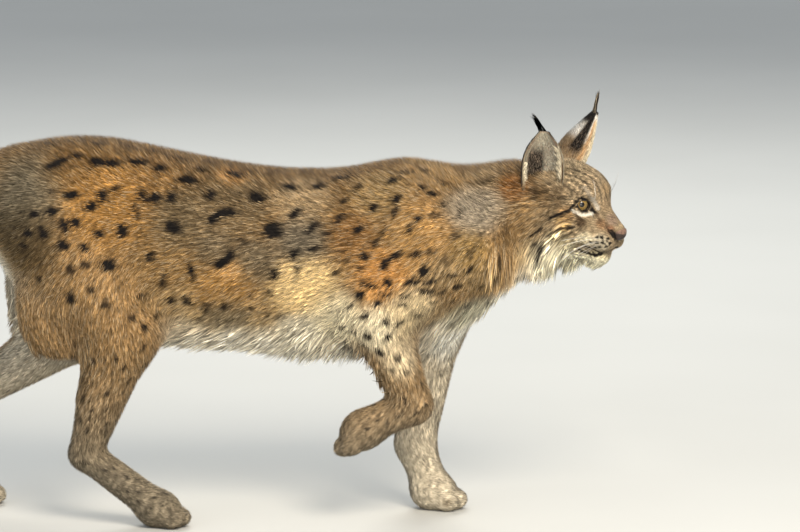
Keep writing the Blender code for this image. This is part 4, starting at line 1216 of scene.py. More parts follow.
BODY_PATCHES = tuple(Patch(*row) for row in (
    # Rump and thigh.
    # The rump's grey is partly painted shade, and the dark patch low on the rump is painted shadow.
    (20, 190, 40, (0.21, 0.20, 0.155)), (18, 238, 34, (0.115, 0.085, 0.045), 1.4),
    # The thigh's two orange patches are partly painted warm sunlight.
    (105, 200, 38, (0.50, 0.29, 0.095), 1.3), (68, 165, 28, (0.30, 0.18, 0.065)),
    (150, 172, 28, (0.34, 0.205, 0.08), 0.8),
    # Flank.
    # The patches at (180, 215), (235, 200) and (300, 240) are partly painted shade on the middle of the
    # flank.
    (180, 215, 28, (0.20, 0.16, 0.10)), (235, 200, 30, (0.26, 0.20, 0.12)),
    (300, 240, 22, (0.20, 0.185, 0.15), 1.2), (255, 262, 20, (0.22, 0.185, 0.13), 1.2),
    # The small orange patch at (228, 273) is a painted highlight.
    (215, 248, 18, (0.23, 0.19, 0.13)), (228, 273, 9, (0.80, 0.50, 0.22), 1.4),
    # The small orange patch at (232, 172), on top of the back, is partly a painted highlight.
    (225, 316, 18, (0.24, 0.205, 0.14), 1.3), (232, 172, 12, (0.60, 0.34, 0.12), 1.2),
    (300, 196, 24, (0.50, 0.385, 0.24)), (225, 290, 26, (0.52, 0.31, 0.11)),
    # The pale warm patches at (303, 290) and (334, 322), low on the flank, are partly painted sunlight.
    (303, 290, 25, (0.98, 0.76, 0.42), 2.4), (334, 322, 24, (0.99, 0.90, 0.66), 2.2),
    (300, 335, 20, (0.99, 0.93, 0.76), 2.0),
    # Shoulder and upper arm.
    (350, 236, 20, (0.32, 0.18, 0.07), 0.8), (378, 188, 24, (0.47, 0.34, 0.17), 0.8),
    (415, 238, 28, (0.53, 0.335, 0.14)), (380, 275, 22, (0.64, 0.35, 0.12), 1.2),
    (440, 275, 20, (0.36, 0.275, 0.16), 0.8), (470, 250, 20, (0.34, 0.24, 0.10), 0.8),
    # The bright patch at (374, 334), by the elbow, is partly painted sunlight.
    (410, 316, 22, (0.80, 0.68, 0.46), 1.6), (374, 334, 20, (0.99, 0.90, 0.68), 2.4),
    (402, 358, 18, (0.84, 0.72, 0.52), 1.5), (432, 170, 24, (0.42, 0.29, 0.145)),
    # Neck and breast.
    (475, 207, 24, (0.42, 0.385, 0.32), 1.3), (482, 171, 15, (0.33, 0.25, 0.15)),
    (512, 184, 13, (0.29, 0.145, 0.050), 2.2), (482, 282, 18, (0.40, 0.30, 0.165), 0.8),
    (470, 316, 20, (0.62, 0.60, 0.46)), (452, 342, 18, (0.97, 0.95, 0.86), 2.0),
))
FACE_PATCHES = tuple(Patch(*row) for row in (
    # Crown, temple and forehead.
    (570, 168, 13, (0.34, 0.28, 0.19), 1.2), (553, 198, 10, (0.13, 0.10, 0.064), 1.6),
    (538, 192, 7, (0.07, 0.055, 0.04), 1.5), (598, 178, 9, (0.36, 0.29, 0.20), 1.5),
    (607, 187, 7, (0.50, 0.37, 0.22), 1.2), (607, 205, 6, (0.38, 0.29, 0.19), 1.5),
    # Cheek.
    (565, 214, 7, (0.42, 0.265, 0.12), 1.3), (562, 224, 7, (0.50, 0.35, 0.16), 1.2),
    (581, 221, 5.5, (0.085, 0.056, 0.032), 2.2), (557, 243, 10, (0.54, 0.48, 0.32), 1.8),
    (549, 257, 13, (0.76, 0.75, 0.62), 3.5), (527, 252, 10, (0.46, 0.45, 0.34), 1.5),
    # Muzzle and chin.
    # The grey of the muzzle patch at (600, 244) is partly painted shade.
    (583, 240, 7, (0.90, 0.81, 0.60), 2.5), (600, 244, 7, (0.54, 0.49, 0.38), 2.5),
    (597, 261, 8, (0.86, 0.76, 0.50), 3.0), (602, 224, 5, (0.26, 0.16, 0.09), 1.5),
    (613, 219, 5, (0.28, 0.21, 0.165), 2.0), (610, 229, 3.5, (0.27, 0.15, 0.09), 1.5),
    (578, 254, 6, (0.80, 0.68, 0.44), 2.0), (566, 252, 8, (0.88, 0.81, 0.60), 2.4),
))
# Spots as the photo shows them: pixel across and down, length, width, tilt in degrees, and the
# strength where it is less than 1.
SPOTS = (
    # Rump and thigh.
    (55.5, 159.6, 26, 9, 41), (76, 151.5, 12, 7, -20), (96.5, 158.2, 13, 11, 0),
    (111.5, 159.5, 15, 10, 10), (138, 157.7, 19, 8, 12), (160, 163.6, 13, 9, 40),
    (72, 192.5, 15, 9, 20), (102, 194.4, 11, 9, 100), (92, 205, 12, 8, 40), (114.7, 187, 8, 5, 20, 0.9),
    (32, 214, 10, 7, 30), (51, 210.5, 12, 8, 10), (65, 225.7, 13, 8, -70), (76.3, 222, 9, 8, 0),
    (25.4, 235, 9, 7, 0), (41.5, 233.8, 11, 8, 90), (63, 246.6, 12, 10, 0), (84.7, 247.4, 10, 8, 0),
    (98.6, 233.5, 11, 7, 0), (122.4, 230.5, 13, 10, 90), (134.7, 210.5, 18, 4, -75),
    (138.8, 228, 14, 2, -85, 0.8), (149.2, 257.3, 11, 6, 80), (109.3, 265.4, 13, 11, 0),
    (85.7, 265.4, 11, 8, 0, 0.9), (69.6, 270.7, 10, 8, 0, 0.9), (36.2, 281.4, 8, 6, 0, 0.9),
    (21.4, 248, 8, 6, 0, 0.9), (49.6, 189, 7, 4, 0, 0.7), (33.5, 167.6, 5, 3, 0, 0.6),
    (69, 300.7, 12, 8, 70), (91, 291.6, 8, 5, 0, 0.9), (105, 305.5, 10, 8, 0, 0.9),
    (134, 317.6, 9, 6, 0, 0.9), (146.8, 327, 9, 8, 0), (162, 282.8, 15, 5, 80),
    # Dashes along the back.
    (47, 138.6, 12, 3, 8), (75, 135.6, 15, 3, 0), (97.8, 138.6, 15, 5, 0), (131, 143.4, 11, 3, -12),
    (154, 147, 12, 3, -15), (171.4, 151.4, 13, 3, -14), (187, 155, 10, 3, -12), (209, 157.6, 13, 3, -6),
    (233, 158.6, 15, 3, -4), (254.5, 160, 13, 3, -6), (281.3, 163.6, 13, 3, -6),
    (308, 167.4, 15, 3, -4),
    # Flank.
    (142, 194.4, 14, 8, -60), (154.6, 196.3, 11, 9, 20), (171, 195.2, 12, 8, 60),
    (187.5, 176.4, 18, 9, 5), (200, 165, 10, 6, 0), (209.8, 192.5, 11, 9, 60), (234, 169.5, 19, 9, -20),
    (266, 169, 8, 4, 0, 0.7), (256.6, 194.4, 16, 12, -10), (289.3, 183, 16, 9, 0),
    (317.4, 182.3, 14, 8, 25), (340, 173.5, 19, 6, 5), (357, 183, 9, 5, 80), (391, 176.4, 13, 8, 20),
    (405.8, 167.6, 14, 4, 20), (173.3, 227.3, 16, 10, -15), (213, 217.5, 14, 8, 50),
    (224.5, 211.5, 20, 8, 8), (271.9, 229.7, 19, 15, 0), (294, 211.8, 16, 7, 50),
    (312, 226.5, 15, 6, 50), (343, 198.4, 9, 5, 45), (371.6, 206, 10, 7, 50), (394.3, 197, 10, 8, 60),
    (392.7, 211.3, 11, 6, 80), (417, 218, 8, 6, 0), (338.3, 217.2, 12, 5, 55), (357.6, 228.7, 9, 6, 20),
    (326.3, 233.2, 8, 4, 10, 0.9), (407.7, 231, 9, 5, 70), (218, 265.5, 12, 8, 20),
    (228, 258, 14, 9, 60), (189.7, 273, 17, 7, -65), (242, 241.3, 9, 5, -60, 0.8),
    (293.3, 254.7, 13, 7, 60), (313.4, 248.8, 10, 4, 25), (273.8, 275.5, 11, 8, 90),
    (296.8, 270.7, 11, 4, 70, 0.9), (268.4, 294.3, 9, 4, -70, 0.9), (249.7, 311, 6, 5, 0, 0.9),
    (249, 297.5, 7, 3, 80, 0.8), (205, 311, 14, 5, 80, 0.9), (223.7, 309.6, 8, 6, 0, 0.9),
    (184.8, 303, 11, 7, -60), (170.6, 303, 8, 6, 0), (144.7, 296.2, 8, 4, 0, 0.9),
    (160.2, 317.6, 8, 6, 0, 0.9), (279, 320.3, 9, 4, 60, 0.8), (265.2, 316.3, 5, 4, 0, 0.7),
    (197, 321.6, 5, 4, 0, 0.8),
    # Shoulder and upper arm.
    (374, 243.3, 9, 5, 60), (363.6, 256.6, 9, 7, 0), (359.6, 267.3, 6, 3, 0, 0.9),
    (383.5, 264, 12, 7, 60), (394.8, 255.6, 13, 5, 25), (414.2, 254.2, 10, 5, 0),
    (429.4, 252.4, 9, 4, -10, 0.9), (422.8, 271.6, 11, 8, 30), (412, 282.6, 14, 5.5, -5),
    (432, 283.8, 12, 4, 10), (456.8, 290.2, 10, 5.5, 25), (427, 293.8, 20, 4.5, -12),
    (451.6, 278.1, 8, 3, -10, 0.9), (469, 272.4, 12, 3.5, 52), (387.3, 282.3, 10, 7, -60),
    (367.6, 283.4, 19, 5, -18), (357.8, 295, 11, 8, 20), (377.4, 303.4, 7, 7, 0),
    (385.3, 294.3, 13, 3.5, -20), (403.7, 297.4, 9, 4, -10), (404, 307, 8, 3, -10),
    (432.7, 306.3, 13, 2, -3, 0.8), (363, 318.2, 11, 6, 25), (388, 324.6, 9, 5.5, 15),
    (401.2, 325.8, 8, 4, 0), (366.3, 340, 10, 7, -25), (389.5, 339.8, 8, 6.5, 45),
    (379.4, 355.3, 10, 5.5, -20), (399, 360.3, 8, 5, 80), (361.5, 348.5, 10, 3, -5, 0.9),
    (407.5, 374, 5, 4.5, 0, 0.8), (414.4, 364.7, 6, 4, 0, 0.6), (371.2, 370, 8, 2.5, 0, 0.7),
    (412.8, 335.3, 5, 4, 0, 0.5), (421.9, 372.6, 5, 4, 0, 0.5), (339.8, 250.7, 6, 4, 0, 0.5),
    (345.6, 260.7, 12, 2, 15, 0.6), (334.8, 273.4, 9, 3.5, 25, 0.9), (325, 266.2, 6, 4, 0, 0.4),
    (339.8, 285.6, 7, 4, 0, 0.5), (327, 300, 5, 3, 20, 0.35), (333.5, 313.6, 8, 3, 0, 0.3),
    (381.3, 233.3, 9, 3, 60, 0.8), (444.5, 262.5, 10, 6, -40, 0.55),
    # Neck and breast.
    (422.3, 183.3, 7, 6, 0), (443.7, 178.2, 8, 5, 0), (433, 190.2, 10, 5.5, 10),
    (424.6, 165.2, 12, 5, -20), (443.7, 202.4, 8, 5, 75, 0.9), (433.8, 214.6, 11, 7, 0, 0.75),
    (454.4, 235.3, 8, 7, 0, 0.75), (482.8, 231.5, 7, 4, 0, 0.5), (461, 207.8, 13, 3.5, 85, 0.9),
    (482, 176.5, 31, 3.5, 15, 0.6), (469.7, 255.2, 10, 6, 70, 0.6), (496.3, 278, 11, 4, 75, 0.9),
    (501.5, 263, 15, 3.5, 85, 0.9), (507.3, 265.7, 6, 3, 50, 0.7), (498, 236, 24, 3.5, -80, 0.5),
    (508, 232, 26, 5, 88, 0.45), (467.5, 323, 8, 2, 0, 0.3),
)


class Ink(Enum):
    """Colours of the face's drawn marks."""

    BLACK = (0.012, 0.010, 0.009)
    BROWN = (0.075, 0.045, 0.025)
    WHITE = (0.88, 0.84, 0.74)


# Marks of the face as the photo shows them: ink, width in pixels, strength, pixels along the mark.
STROKES = (
    (Ink.BLACK, 3.0, 1.0, ((575.5, 205.2), (569.2, 208.5), (558.5, 213.9), (547.8, 218.4))),
    (Ink.BLACK, 2.4, 0.95, ((574.6, 227.7), (559.3, 229.2), (551.6, 233), (544.7, 238.4))),
    (Ink.BLACK, 3.0, 0.95, ((540.9, 229.2), (533.3, 234.5), (527.5, 240))),
    (Ink.BLACK, 2.4, 0.85, ((554, 240.2), (547, 243), (541, 247))),
    (Ink.BLACK, 5.0, 1.0, ((542.4, 244), (539.5, 250), (537.0, 257), (535.5, 263))),
    (Ink.BLACK, 5.5, 0.9, ((534.6, 242.6), (532.2, 249))),
    (Ink.BROWN, 2.0, 0.6, ((521, 220.5), (516.5, 227))),
    (Ink.BLACK, 2.4, 0.7, ((582.6, 190.6), (582.2, 193.4))),
    (Ink.BLACK, 2.0, 0.75, ((565.4, 165.6), (576, 168.5), (587, 174), (597, 182.5))),
    (Ink.BLACK, 2.0, 0.70, ((573, 163.5), (583, 166.5), (593, 171.5), (601, 179))),
    (Ink.BLACK, 1.8, 0.65, ((563, 171.5), (574, 174.5), (584, 181), (592, 189))),
    (Ink.BLACK, 6.0, 0.7, ((533.5, 184), (532.5, 194))),
    (Ink.BLACK, 2.4, 1.0, ((596.4, 237.6), (597.6, 237.6))),
    (Ink.BLACK, 2.4, 1.0, ((601, 237.6), (602.2, 237.7))),
    (Ink.BLACK, 2.4, 1.0, ((607.8, 238.4), (608.8, 238.4))),
    (Ink.BLACK, 2.4, 1.0, ((589.5, 243), (591, 243))),
    (Ink.BLACK, 2.4, 1.0, ((596, 243.3), (597.6, 243.3))),
    (Ink.BLACK, 2.4, 1.0, ((601.6, 243), (603.2, 243))),
    (Ink.BLACK, 2.4, 1.0, ((609.6, 243.7), (611, 243.7))),
    (Ink.BLACK, 2.3, 0.9, ((588, 247.6), (589, 247.6))),
    (Ink.BLACK, 2.3, 0.9, ((594, 248), (595.4, 248))),
    (Ink.BLACK, 2.3, 0.9, ((598.8, 247.6), (600, 247.6))),
    (Ink.BLACK, 2.3, 0.9, ((605.4, 247.2), (606.8, 247.2))),
    (Ink.WHITE, 3.2, 0.90, ((573.6, 209.4), (577.5, 213.2), (582.5, 215.0), (588, 214.6),
                            (592.6, 212.6))),
    (Ink.BLACK, 3.8, 1.0, ((587.5, 204.5), (590.5, 208.6), (594.6, 212.4))),
    (Ink.BLACK, 3.0, 1.0, ((577.5, 202.4), (573.4, 205.6))),
    (Ink.BLACK, 3.2, 1.0, ((576.5, 201.0), (581.5, 198.6), (587.0, 200.6), (590.0, 205.5))),
    (Ink.WHITE, 4.6, 0.15, ((584.5, 186.5), (588.5, 193.0), (592.0, 198.5))),
    (Ink.WHITE, 4.4, 0.45, ((592.4, 199.5), (595.0, 203.5), (597.4, 208))),
    (Ink.BLACK, 1.6, 0.55, ((560, 177.5), (571, 180.5), (580, 187))),
    (Ink.BLACK, 1.6, 0.5, ((556, 183), (566, 186), (575, 192))),
    (Ink.BLACK, 1.6, 0.45, ((552, 187.5), (562, 191), (571, 196.5))),
    (Ink.BLACK, 2.0, 0.7, ((572, 209), (566, 212.5), (559, 217))),
    (Ink.BROWN, 2.2, 0.8, ((573, 217.5), (562, 221.5), (552, 227))),
    (Ink.BROWN, 2.0, 0.7, ((570, 234), (562, 236.5), (555, 240))),
    (Ink.BLACK, 2.0, 0.6, ((596, 184), (600, 190), (602, 198))),
    (Ink.BLACK, 2.0, 0.6, ((601, 182), (605, 189), (607, 197))),
    (Ink.BLACK, 4.2, 1.0, ((610.5, 231.5), (613.5, 235.6), (617.5, 238.8), (621, 238.2))),
    (Ink.BROWN, 2.2, 0.7, ((606.5, 227), (609.5, 230.5))),
    (Ink.BLACK, 2.8, 0.95, ((577.5, 250.0), (583.5, 252.6), (590, 254.6))),
    (Ink.BLACK, 3.4, 1.0, ((590, 254.6), (596, 255.4), (602, 254.4))),
    (Ink.BROWN, 3.0, 0.6, ((596.5, 214.5), (600.5, 220.5))),
)


@dataclass
class Markings:
    """Colours of skin and coat at every place of the body."""

    lynx: Lynx
    contrast: float = 1.22
    spot_rag: float = 0.20
    spot_edge: tuple[float, float] = (1.25, 0.95)
    stroke_rag: float = 0.34
    stroke_edge: tuple[float, float] = (1.5, 0.7)
    leg_spot_gap: float = 0.0028
    spots: list[tuple[Points, Points, Points, float, float, float]] = field(default_factory=list)
    body: list[tuple[Points, Patch]] = field(default_factory=list)
    face: list[tuple[Points, Patch]] = field(default_factory=list)
    strokes: list[tuple[Ink, float, float, Points]] = field(default_factory=list)

    def prepare(self) -> None:
        """Sets the spots on both sides of the body, and the marks of the face."""
        patches = BODY_PATCHES + FACE_PATCHES
        pixels = [row[:2] for row in SPOTS] + [(patch.across, patch.down) for patch in patches]
        for stroke in STROKES:
            pixels += stroke[3]
        seen = self.lynx.seen_at(np.array(pixels, float))
        sizes = np.cumsum((len(SPOTS), len(BODY_PATCHES), len(FACE_PATCHES)))
        places, body, face, marks = np.split(seen, sizes)
        head = self.lynx.head
        face = head.inward(face)
        self.body = list(zip(to_left(body), BODY_PATCHES))
        self.face = list(zip(to_left(face), FACE_PATCHES))
        normals = self.lynx.slope(places)
        rise = math.radians(CAMERA_HEIGHT)
        across, up = np.array((1.0, 0, 0)), np.array((0, math.sin(rise), math.cos(rise)))
        draw = np.random.default_rng(17)
        flip = np.array((1, -1, 1))
        for row, place, normal in zip(SPOTS, places, normals):
            long, wide, tilt, strength = (*row, 1.0)[2:6]
            turn = math.radians(tilt)
            way = across * math.cos(turn) + up * math.sin(turn)
            long, wide = (long + 1.0) * PIXEL / 2, (wide + 1.0) * PIXEL / 2
            self.add(place, normal, way, long, wide, strength)
            if place[2] < 0.30 and place[0] > -0.10:
                continue
            other = place * flip + draw.normal(0, 0.006, 3) * (1, 0, 1)
            size = draw.uniform(0.8, 1.2)
            self.add(other, normal * flip, way * flip + draw.normal(0, 0.2, 3), long * size,
                     wide * size, strength)
        for ink, width, strength, line in STROKES:
            mark, marks = to_left(head.inward(marks[:len(line)])), marks[len(line):]
            self.strokes.append((ink, width * PIXEL / 2, strength, mark))
        edge = head.inward(head.lid_edge(Side.LEFT, head.eye_radius + 0.0018))
        self.strokes.append((Ink.BLACK, 0.0015, 1.0, np.vstack((edge, edge[:1]))))
        lips = [head.mouth_at(share) for share in np.linspace(0, 0.98, 12)]
        line = np.array([(0.002 + 0.052 * ahead, 0.034 * out, droop) for ahead, out, droop in lips])
        line = head.inward(self.lynx.settled(head.outward(line), 8))
        self.strokes.append((Ink.BLACK, 0.0017, 0.95, line))
        self.scatter_on_legs(draw)

    def scatter_on_legs(self, draw: Draw) -> None:
        """Sets smaller spots on the legs that the photo doesn't show."""
        points, ways = [], []
        for leg in self.lynx.legs:
            joints = [np.array(joint) for joint, _ in leg.chain.joints[1:]] + [np.array(leg.paw.base)]
            for start, end in zip(joints, joints[1:]):
                count = int(np.linalg.norm(end - start) / self.leg_spot_gap)
                facing = draw.uniform(-2.3, 2.3, count) + (0 if leg.side is Side.LEFT else math.pi)
                around = columns(np.sin(facing), np.cos(facing), 0.0)
                along = draw.uniform(0.05, 0.95, (count, 1))
                points.append(start + (end - start) * along + 0.06 * around)
                ways.append(np.repeat((end - start)[None], count, axis=0))
        points, ways = np.concatenate(points), np.concatenate(ways)
        points = self.lynx.settled(points, 10)
        normals = self.lynx.slope(points)
        taken = np.array([spot[0] for spot in self.spots])
        for point, way, normal in zip(points, ways, normals):
            size = 0.0028 + 0.0022 * float(ramp(point[2], 0.08, 0.30))
            if np.linalg.norm(taken - point, axis=1).min() < size * 4.2:
                continue
            taken = np.vstack((taken, point))
            self.add(point, normal, way + draw.normal(0, 0.02, 3), size * draw.uniform(0.9, 1.4),
                     size * draw.uniform(0.55, 0.9), 0.9)

    def add(self, place: Points, normal: Points, way: Points, long: float, wide: float,
            strength: float) -> None:
        """Adds one spot that lies along the surface."""
        way = unit(way - normal * (way @ normal))
        self.spots.append((place, way, np.cross(normal, way), long, wide, strength))

    def dark(self, p: Points) -> Points:
        """How dark the spots make each place."""
        total = np.zeros(len(p))
        ragged = 1 + self.spot_rag * waves(p, 0.007, 31)
        for place, way, across, long, wide, strength in self.spots:
            reach = max(long, wide) * 1.7
            near = np.flatnonzero(np.abs(p - place).max(axis=1) < reach)
            if len(near) == 0:
                continue
            q = p[near] - place
            size = np.hypot((q @ way) / long, (q @ across) / wide) * ragged[near]
            total[near] = np.maximum(total[near], strength * ramp(size, *self.spot_edge))
        return total

    def drawn(self, p: Points, colours: Points) -> Points:
        """The colours with the face's marks drawn over them."""
        q = to_left(self.lynx.head.inward(p))
        face = np.flatnonzero(np.linalg.norm(q + (0.03, 0, 0), axis=1) < 0.13)
        q, made = q[face], colours[face]
        ragged = 1 + self.stroke_rag * waves(p[face], 0.0055, 33)
        for ink, half, strength, line in self.strokes:
            nearest = np.full(len(q), 1.0)
            for start, end in zip(line, line[1:]):
                along = end - start
                share = np.clip((q - start) @ along / (along @ along), 0, 1)
                nearest = np.minimum(nearest, np.linalg.norm(q - start - share[:, None] * along, axis=1))
            outer, inner = (half * edge for edge in self.stroke_edge)
            made = covered(made, strength * ramp(nearest * ragged, outer, inner), ink.value)
        colours = colours.copy()
        colours[face] = made
        return colours

    def colour(self, p: Points, normals: Points) -> Points:
        """Colour of each place."""
        shares = self.lynx.shares(p)
        total = self.trunk_colour(p) * shares["trunk"][:, None]
        total += self.head_colour(p) * shares["head"][:, None]
        total += self.tail_colour(p) * shares["tail"][:, None]
        leg = self.leg_colour(p, normals)
        legs = 0
        for one in self.lynx.legs:
            here = shares[one.name] + shares[one.paw_name]
            total += leg * here[:, None]
            legs = legs + here
        grain = waves(p * (0.5, 1, 1), 0.0048, 42, 12) * (1 - legs)
        grain += waves(p * (1, 1, 0.5), 0.0048, 44, 12) * legs
        fine = waves(p * (0.6, 1, 1), 0.0036, 45, 12)
        calm = 1 - 0.60 * shares["head"] * ramp(self.lynx.head.inward(p)[:, 0], -0.010, 0.020)
        fine *= 0.28 + 0.55 * shares["head"]
        total = total ** self.contrast
        total *= np.exp(0.10 * waves(p, 0.030, 41) + calm * (0.46 * grain + fine))[:, None]
        return self.drawn(p, covered(total, self.dark(p), Ink.BLACK.value))

    def trunk_colour(self, p: Points) -> Points:
        """Grey-brown back, warmer flank and cream belly."""
        back, belly = self.lynx.trunk.levels(p[:, 0])
        high = (p[:, 2] - belly) / (back - belly) + 0.03 * waves(p, 0.05, 43)
        stops = (-0.05, 0.08, 0.20, 0.36, 0.70, 0.92, 1.0)
        colours = np.array(((0.95, 0.92, 0.82), (0.92, 0.86, 0.72), (0.58, 0.44, 0.25),
                            (0.39, 0.26, 0.12), (0.32, 0.205, 0.09), (0.27, 0.175, 0.08),
                            (0.20, 0.13, 0.06)))
        made = np.stack([np.interp(high, stops, colours[:, i]) for i in range(3)], axis=1)
        return self.tinted(to_left(p), made, self.body)

    def leg_colour(self, p: Points, normals: Points) -> Points:
        """Tawny outside, cream inside and behind, greyer and darker towards the paws, partly as painted
        shade.
        """
        # Lower on the leg the coat turns a greyer buff, and darker as painted shade on the paws.
        outer = covered(TAWNY, ramp(p[:, 2], 0.30, 0.06), (0.25, 0.215, 0.16))
        inside = ramp(normals[:, 1] * np.sign(p[:, 1]), 0.1, -0.6)
        made = covered(outer, inside, (0.60, 0.54, 0.43))
        return self.tinted(to_left(p), made, self.body)

    def tail_colour(self, p: Points) -> Points:
        """Tawny root and a black end."""
        end = ramp(p[:, 2] + 0.008 * waves(p, 0.02, 9), 0.385, 0.365)
        return covered(TAWNY, end, Ink.BLACK.value)

    def head_colour(self, p: Points) -> Points:
        """Grey-brown face with cream muzzle, chin and ruff."""
        q = self.lynx.head.inward(p)
        made = self.tinted(to_left(q), (0.34, 0.27, 0.18), self.face)
        under = ramp(q[:, 2], -0.066, -0.080) * ramp(q[:, 0], -0.070, -0.045)
        return covered(made, under, (0.78, 0.74, 0.57))

    def along(self, paths: Points, normals: Points, rounds: int = 0) -> Points:
        """Colours of all points of paths.

        Args:
            paths: Points, path by path.
            normals: One normal for each path.
            rounds: How often the places are first moved towards the outside of the coat.

        Returns:
            One colour for each point.
        """
        def work(rows: Points) -> Points:
            """Colours of one block."""
            return self.colour(self.lynx.settled(rows[:, :3], rounds), rows[:, 3:])

        rows = np.concatenate((paths, np.repeat(normals[:, None], paths.shape[1], axis=1)), axis=2)
        return in_blocks(work, rows.reshape(-1, 6)).reshape(paths.shape)

    def tinted(self, p: Points, base: Points | Triple, patches: Sequence[tuple[Points, Patch]]) -> Points:
        """The base colours with soft patches laid over them."""
        weight = np.full(len(p), BASE_WEIGHT)
        total = np.asarray(base) * BASE_WEIGHT
        for place, patch in patches:
            away = np.linalg.norm(p - place, axis=1) / (patch.reach * PIXEL)
            share = patch.strength * np.exp(-away**3)
            total = total + share[:, None] * np.array(patch.colour)
            weight += share
        return total / weight[:, None]


@dataclass
class Roots:
    """Arrays of the places where hairs stand on the skin."""

    places: Points
    normals: Points
    lies: Points
    depths: Points
    shares: Points

    def take(self, chosen: Points) -> "Roots":
        """Some of the roots."""
        return Roots(self.places[chosen], self.normals[chosen], self.lies[chosen],
                     self.depths[chosen], self.shares[chosen])


def varied(colours: Points, draw: Draw) -> Points:
    """Each tuft's own tone: some pale at the tip, some dark, as in ticked fur."""
    each = (len(colours),) + (1,) * (colours.ndim - 1)
    made = colours * draw.lognormal(0, 0.26, each)
    pale = 0.40 * (draw.uniform(0, 1, each) < 0.25) * ramp(colours.sum(axis=-1, keepdims=True), 0.15, 0.6)
    made = made * (1 - pale) + np.array((0.86, 0.71, 0.48)) * pale
    return made * np.where(draw.uniform(0, 1, each) < 0.25, 0.42, 1.0)


def chart_of(p: Points) -> Points:
    """Places on a cylinder unrolled round a piece's own axis."""
    middle = p.mean(axis=0)
    _, _, ways = np.linalg.svd((p - middle)[::max(1, len(p) // 2000)], full_matrices=False)
    along = (p - middle) @ ways[0]
    turn = np.arctan2((p - middle) @ ways[2], (p - middle) @ ways[1])
    u = (along - along.min()) / (along.max() - along.min())
    return np.column_stack((u, (turn + math.pi) / (2 * math.pi))) * 0.99 + 0.003


@dataclass
class Ground:
    """The skin's triangles, on which hairs stand."""

    lynx: Lynx
    triangles: Points
    normals: Points

    @classmethod
    def of(cls, lynx: Lynx, mesh: Mesh) -> "Ground":
        """Reads a mesh."""
        mesh.calc_loop_triangles()
        corners = np.empty(len(mesh.loop_triangles) * 3, np.int32)
        mesh.loop_triangles.foreach_get("vertices", corners)
        corners = corners.reshape(-1, 3)
        return cls(lynx, vertex_points(mesh)[corners], vertex_normals(mesh)[corners])

    def within(self, low: Triple, high: Triple) -> "Ground":
        """The ground inside a box."""
        middle = self.triangles.mean(axis=1)
        mine = ((middle > low) & (middle < high)).all(axis=1)
        return Ground(self.lynx, self.triangles[mine], self.normals[mine])

    def roots(self, density: Callable[[Points], Points], seed: int) -> "Roots":
        """Spreads roots evenly over the skin.

        Args:
            density: Hairs for each square metre at each place.
            seed: Seed of the scatter.

        Returns:
            The roots, none on bare skin or inside the sockets and the mouth.
        """
        middle = self.triangles.mean(axis=1)
        sides = self.triangles[:, 1:] - self.triangles[:, :1]
        area = np.linalg.norm(np.cross(sides[:, 0], sides[:, 1]), axis=1) / 2
        wanted = np.cumsum(area * in_blocks(density, middle))
        draw = np.random.default_rng(seed)
        marks = np.arange(int(wanted[-1])) + draw.uniform(0, 1, int(wanted[-1]))
        face = np.clip(np.searchsorted(wanted, marks), 0, len(middle) - 1)
        u, v = draw.uniform(0, 1, (2, len(face)))
        over = u + v > 1
        u, v = np.where(over, 1 - u, u), np.where(over, 1 - v, v)
        weight = columns(1 - u - v, u, v)[:, :, None]
        places = (self.triangles[face] * weight).sum(axis=1)
        normals = unit((self.normals[face] * weight).sum(axis=1))
        joined = in_blocks(lambda rows: self.describe(rows[:, :3], rows[:, 3:]),
                           np.concatenate((places, normals), axis=1))
        made = Roots(places, normals, joined[:, :3], joined[:, 3], joined[:, 5:])
        return made.take((joined[:, 4] > -0.0012) & ~self.lynx.head.bare(places))

    def describe(self, p: Points, normals: Points) -> Points:
        """Lie, depth, level and shares at each place, as columns."""
        shares = self.lynx.shares(p)
        depth = self.lynx.depth(p, shares)
        return np.column_stack((self.lynx.lie(p, normals, shares), depth,
                                self.lynx.distance(p) + depth, *shares.values()))


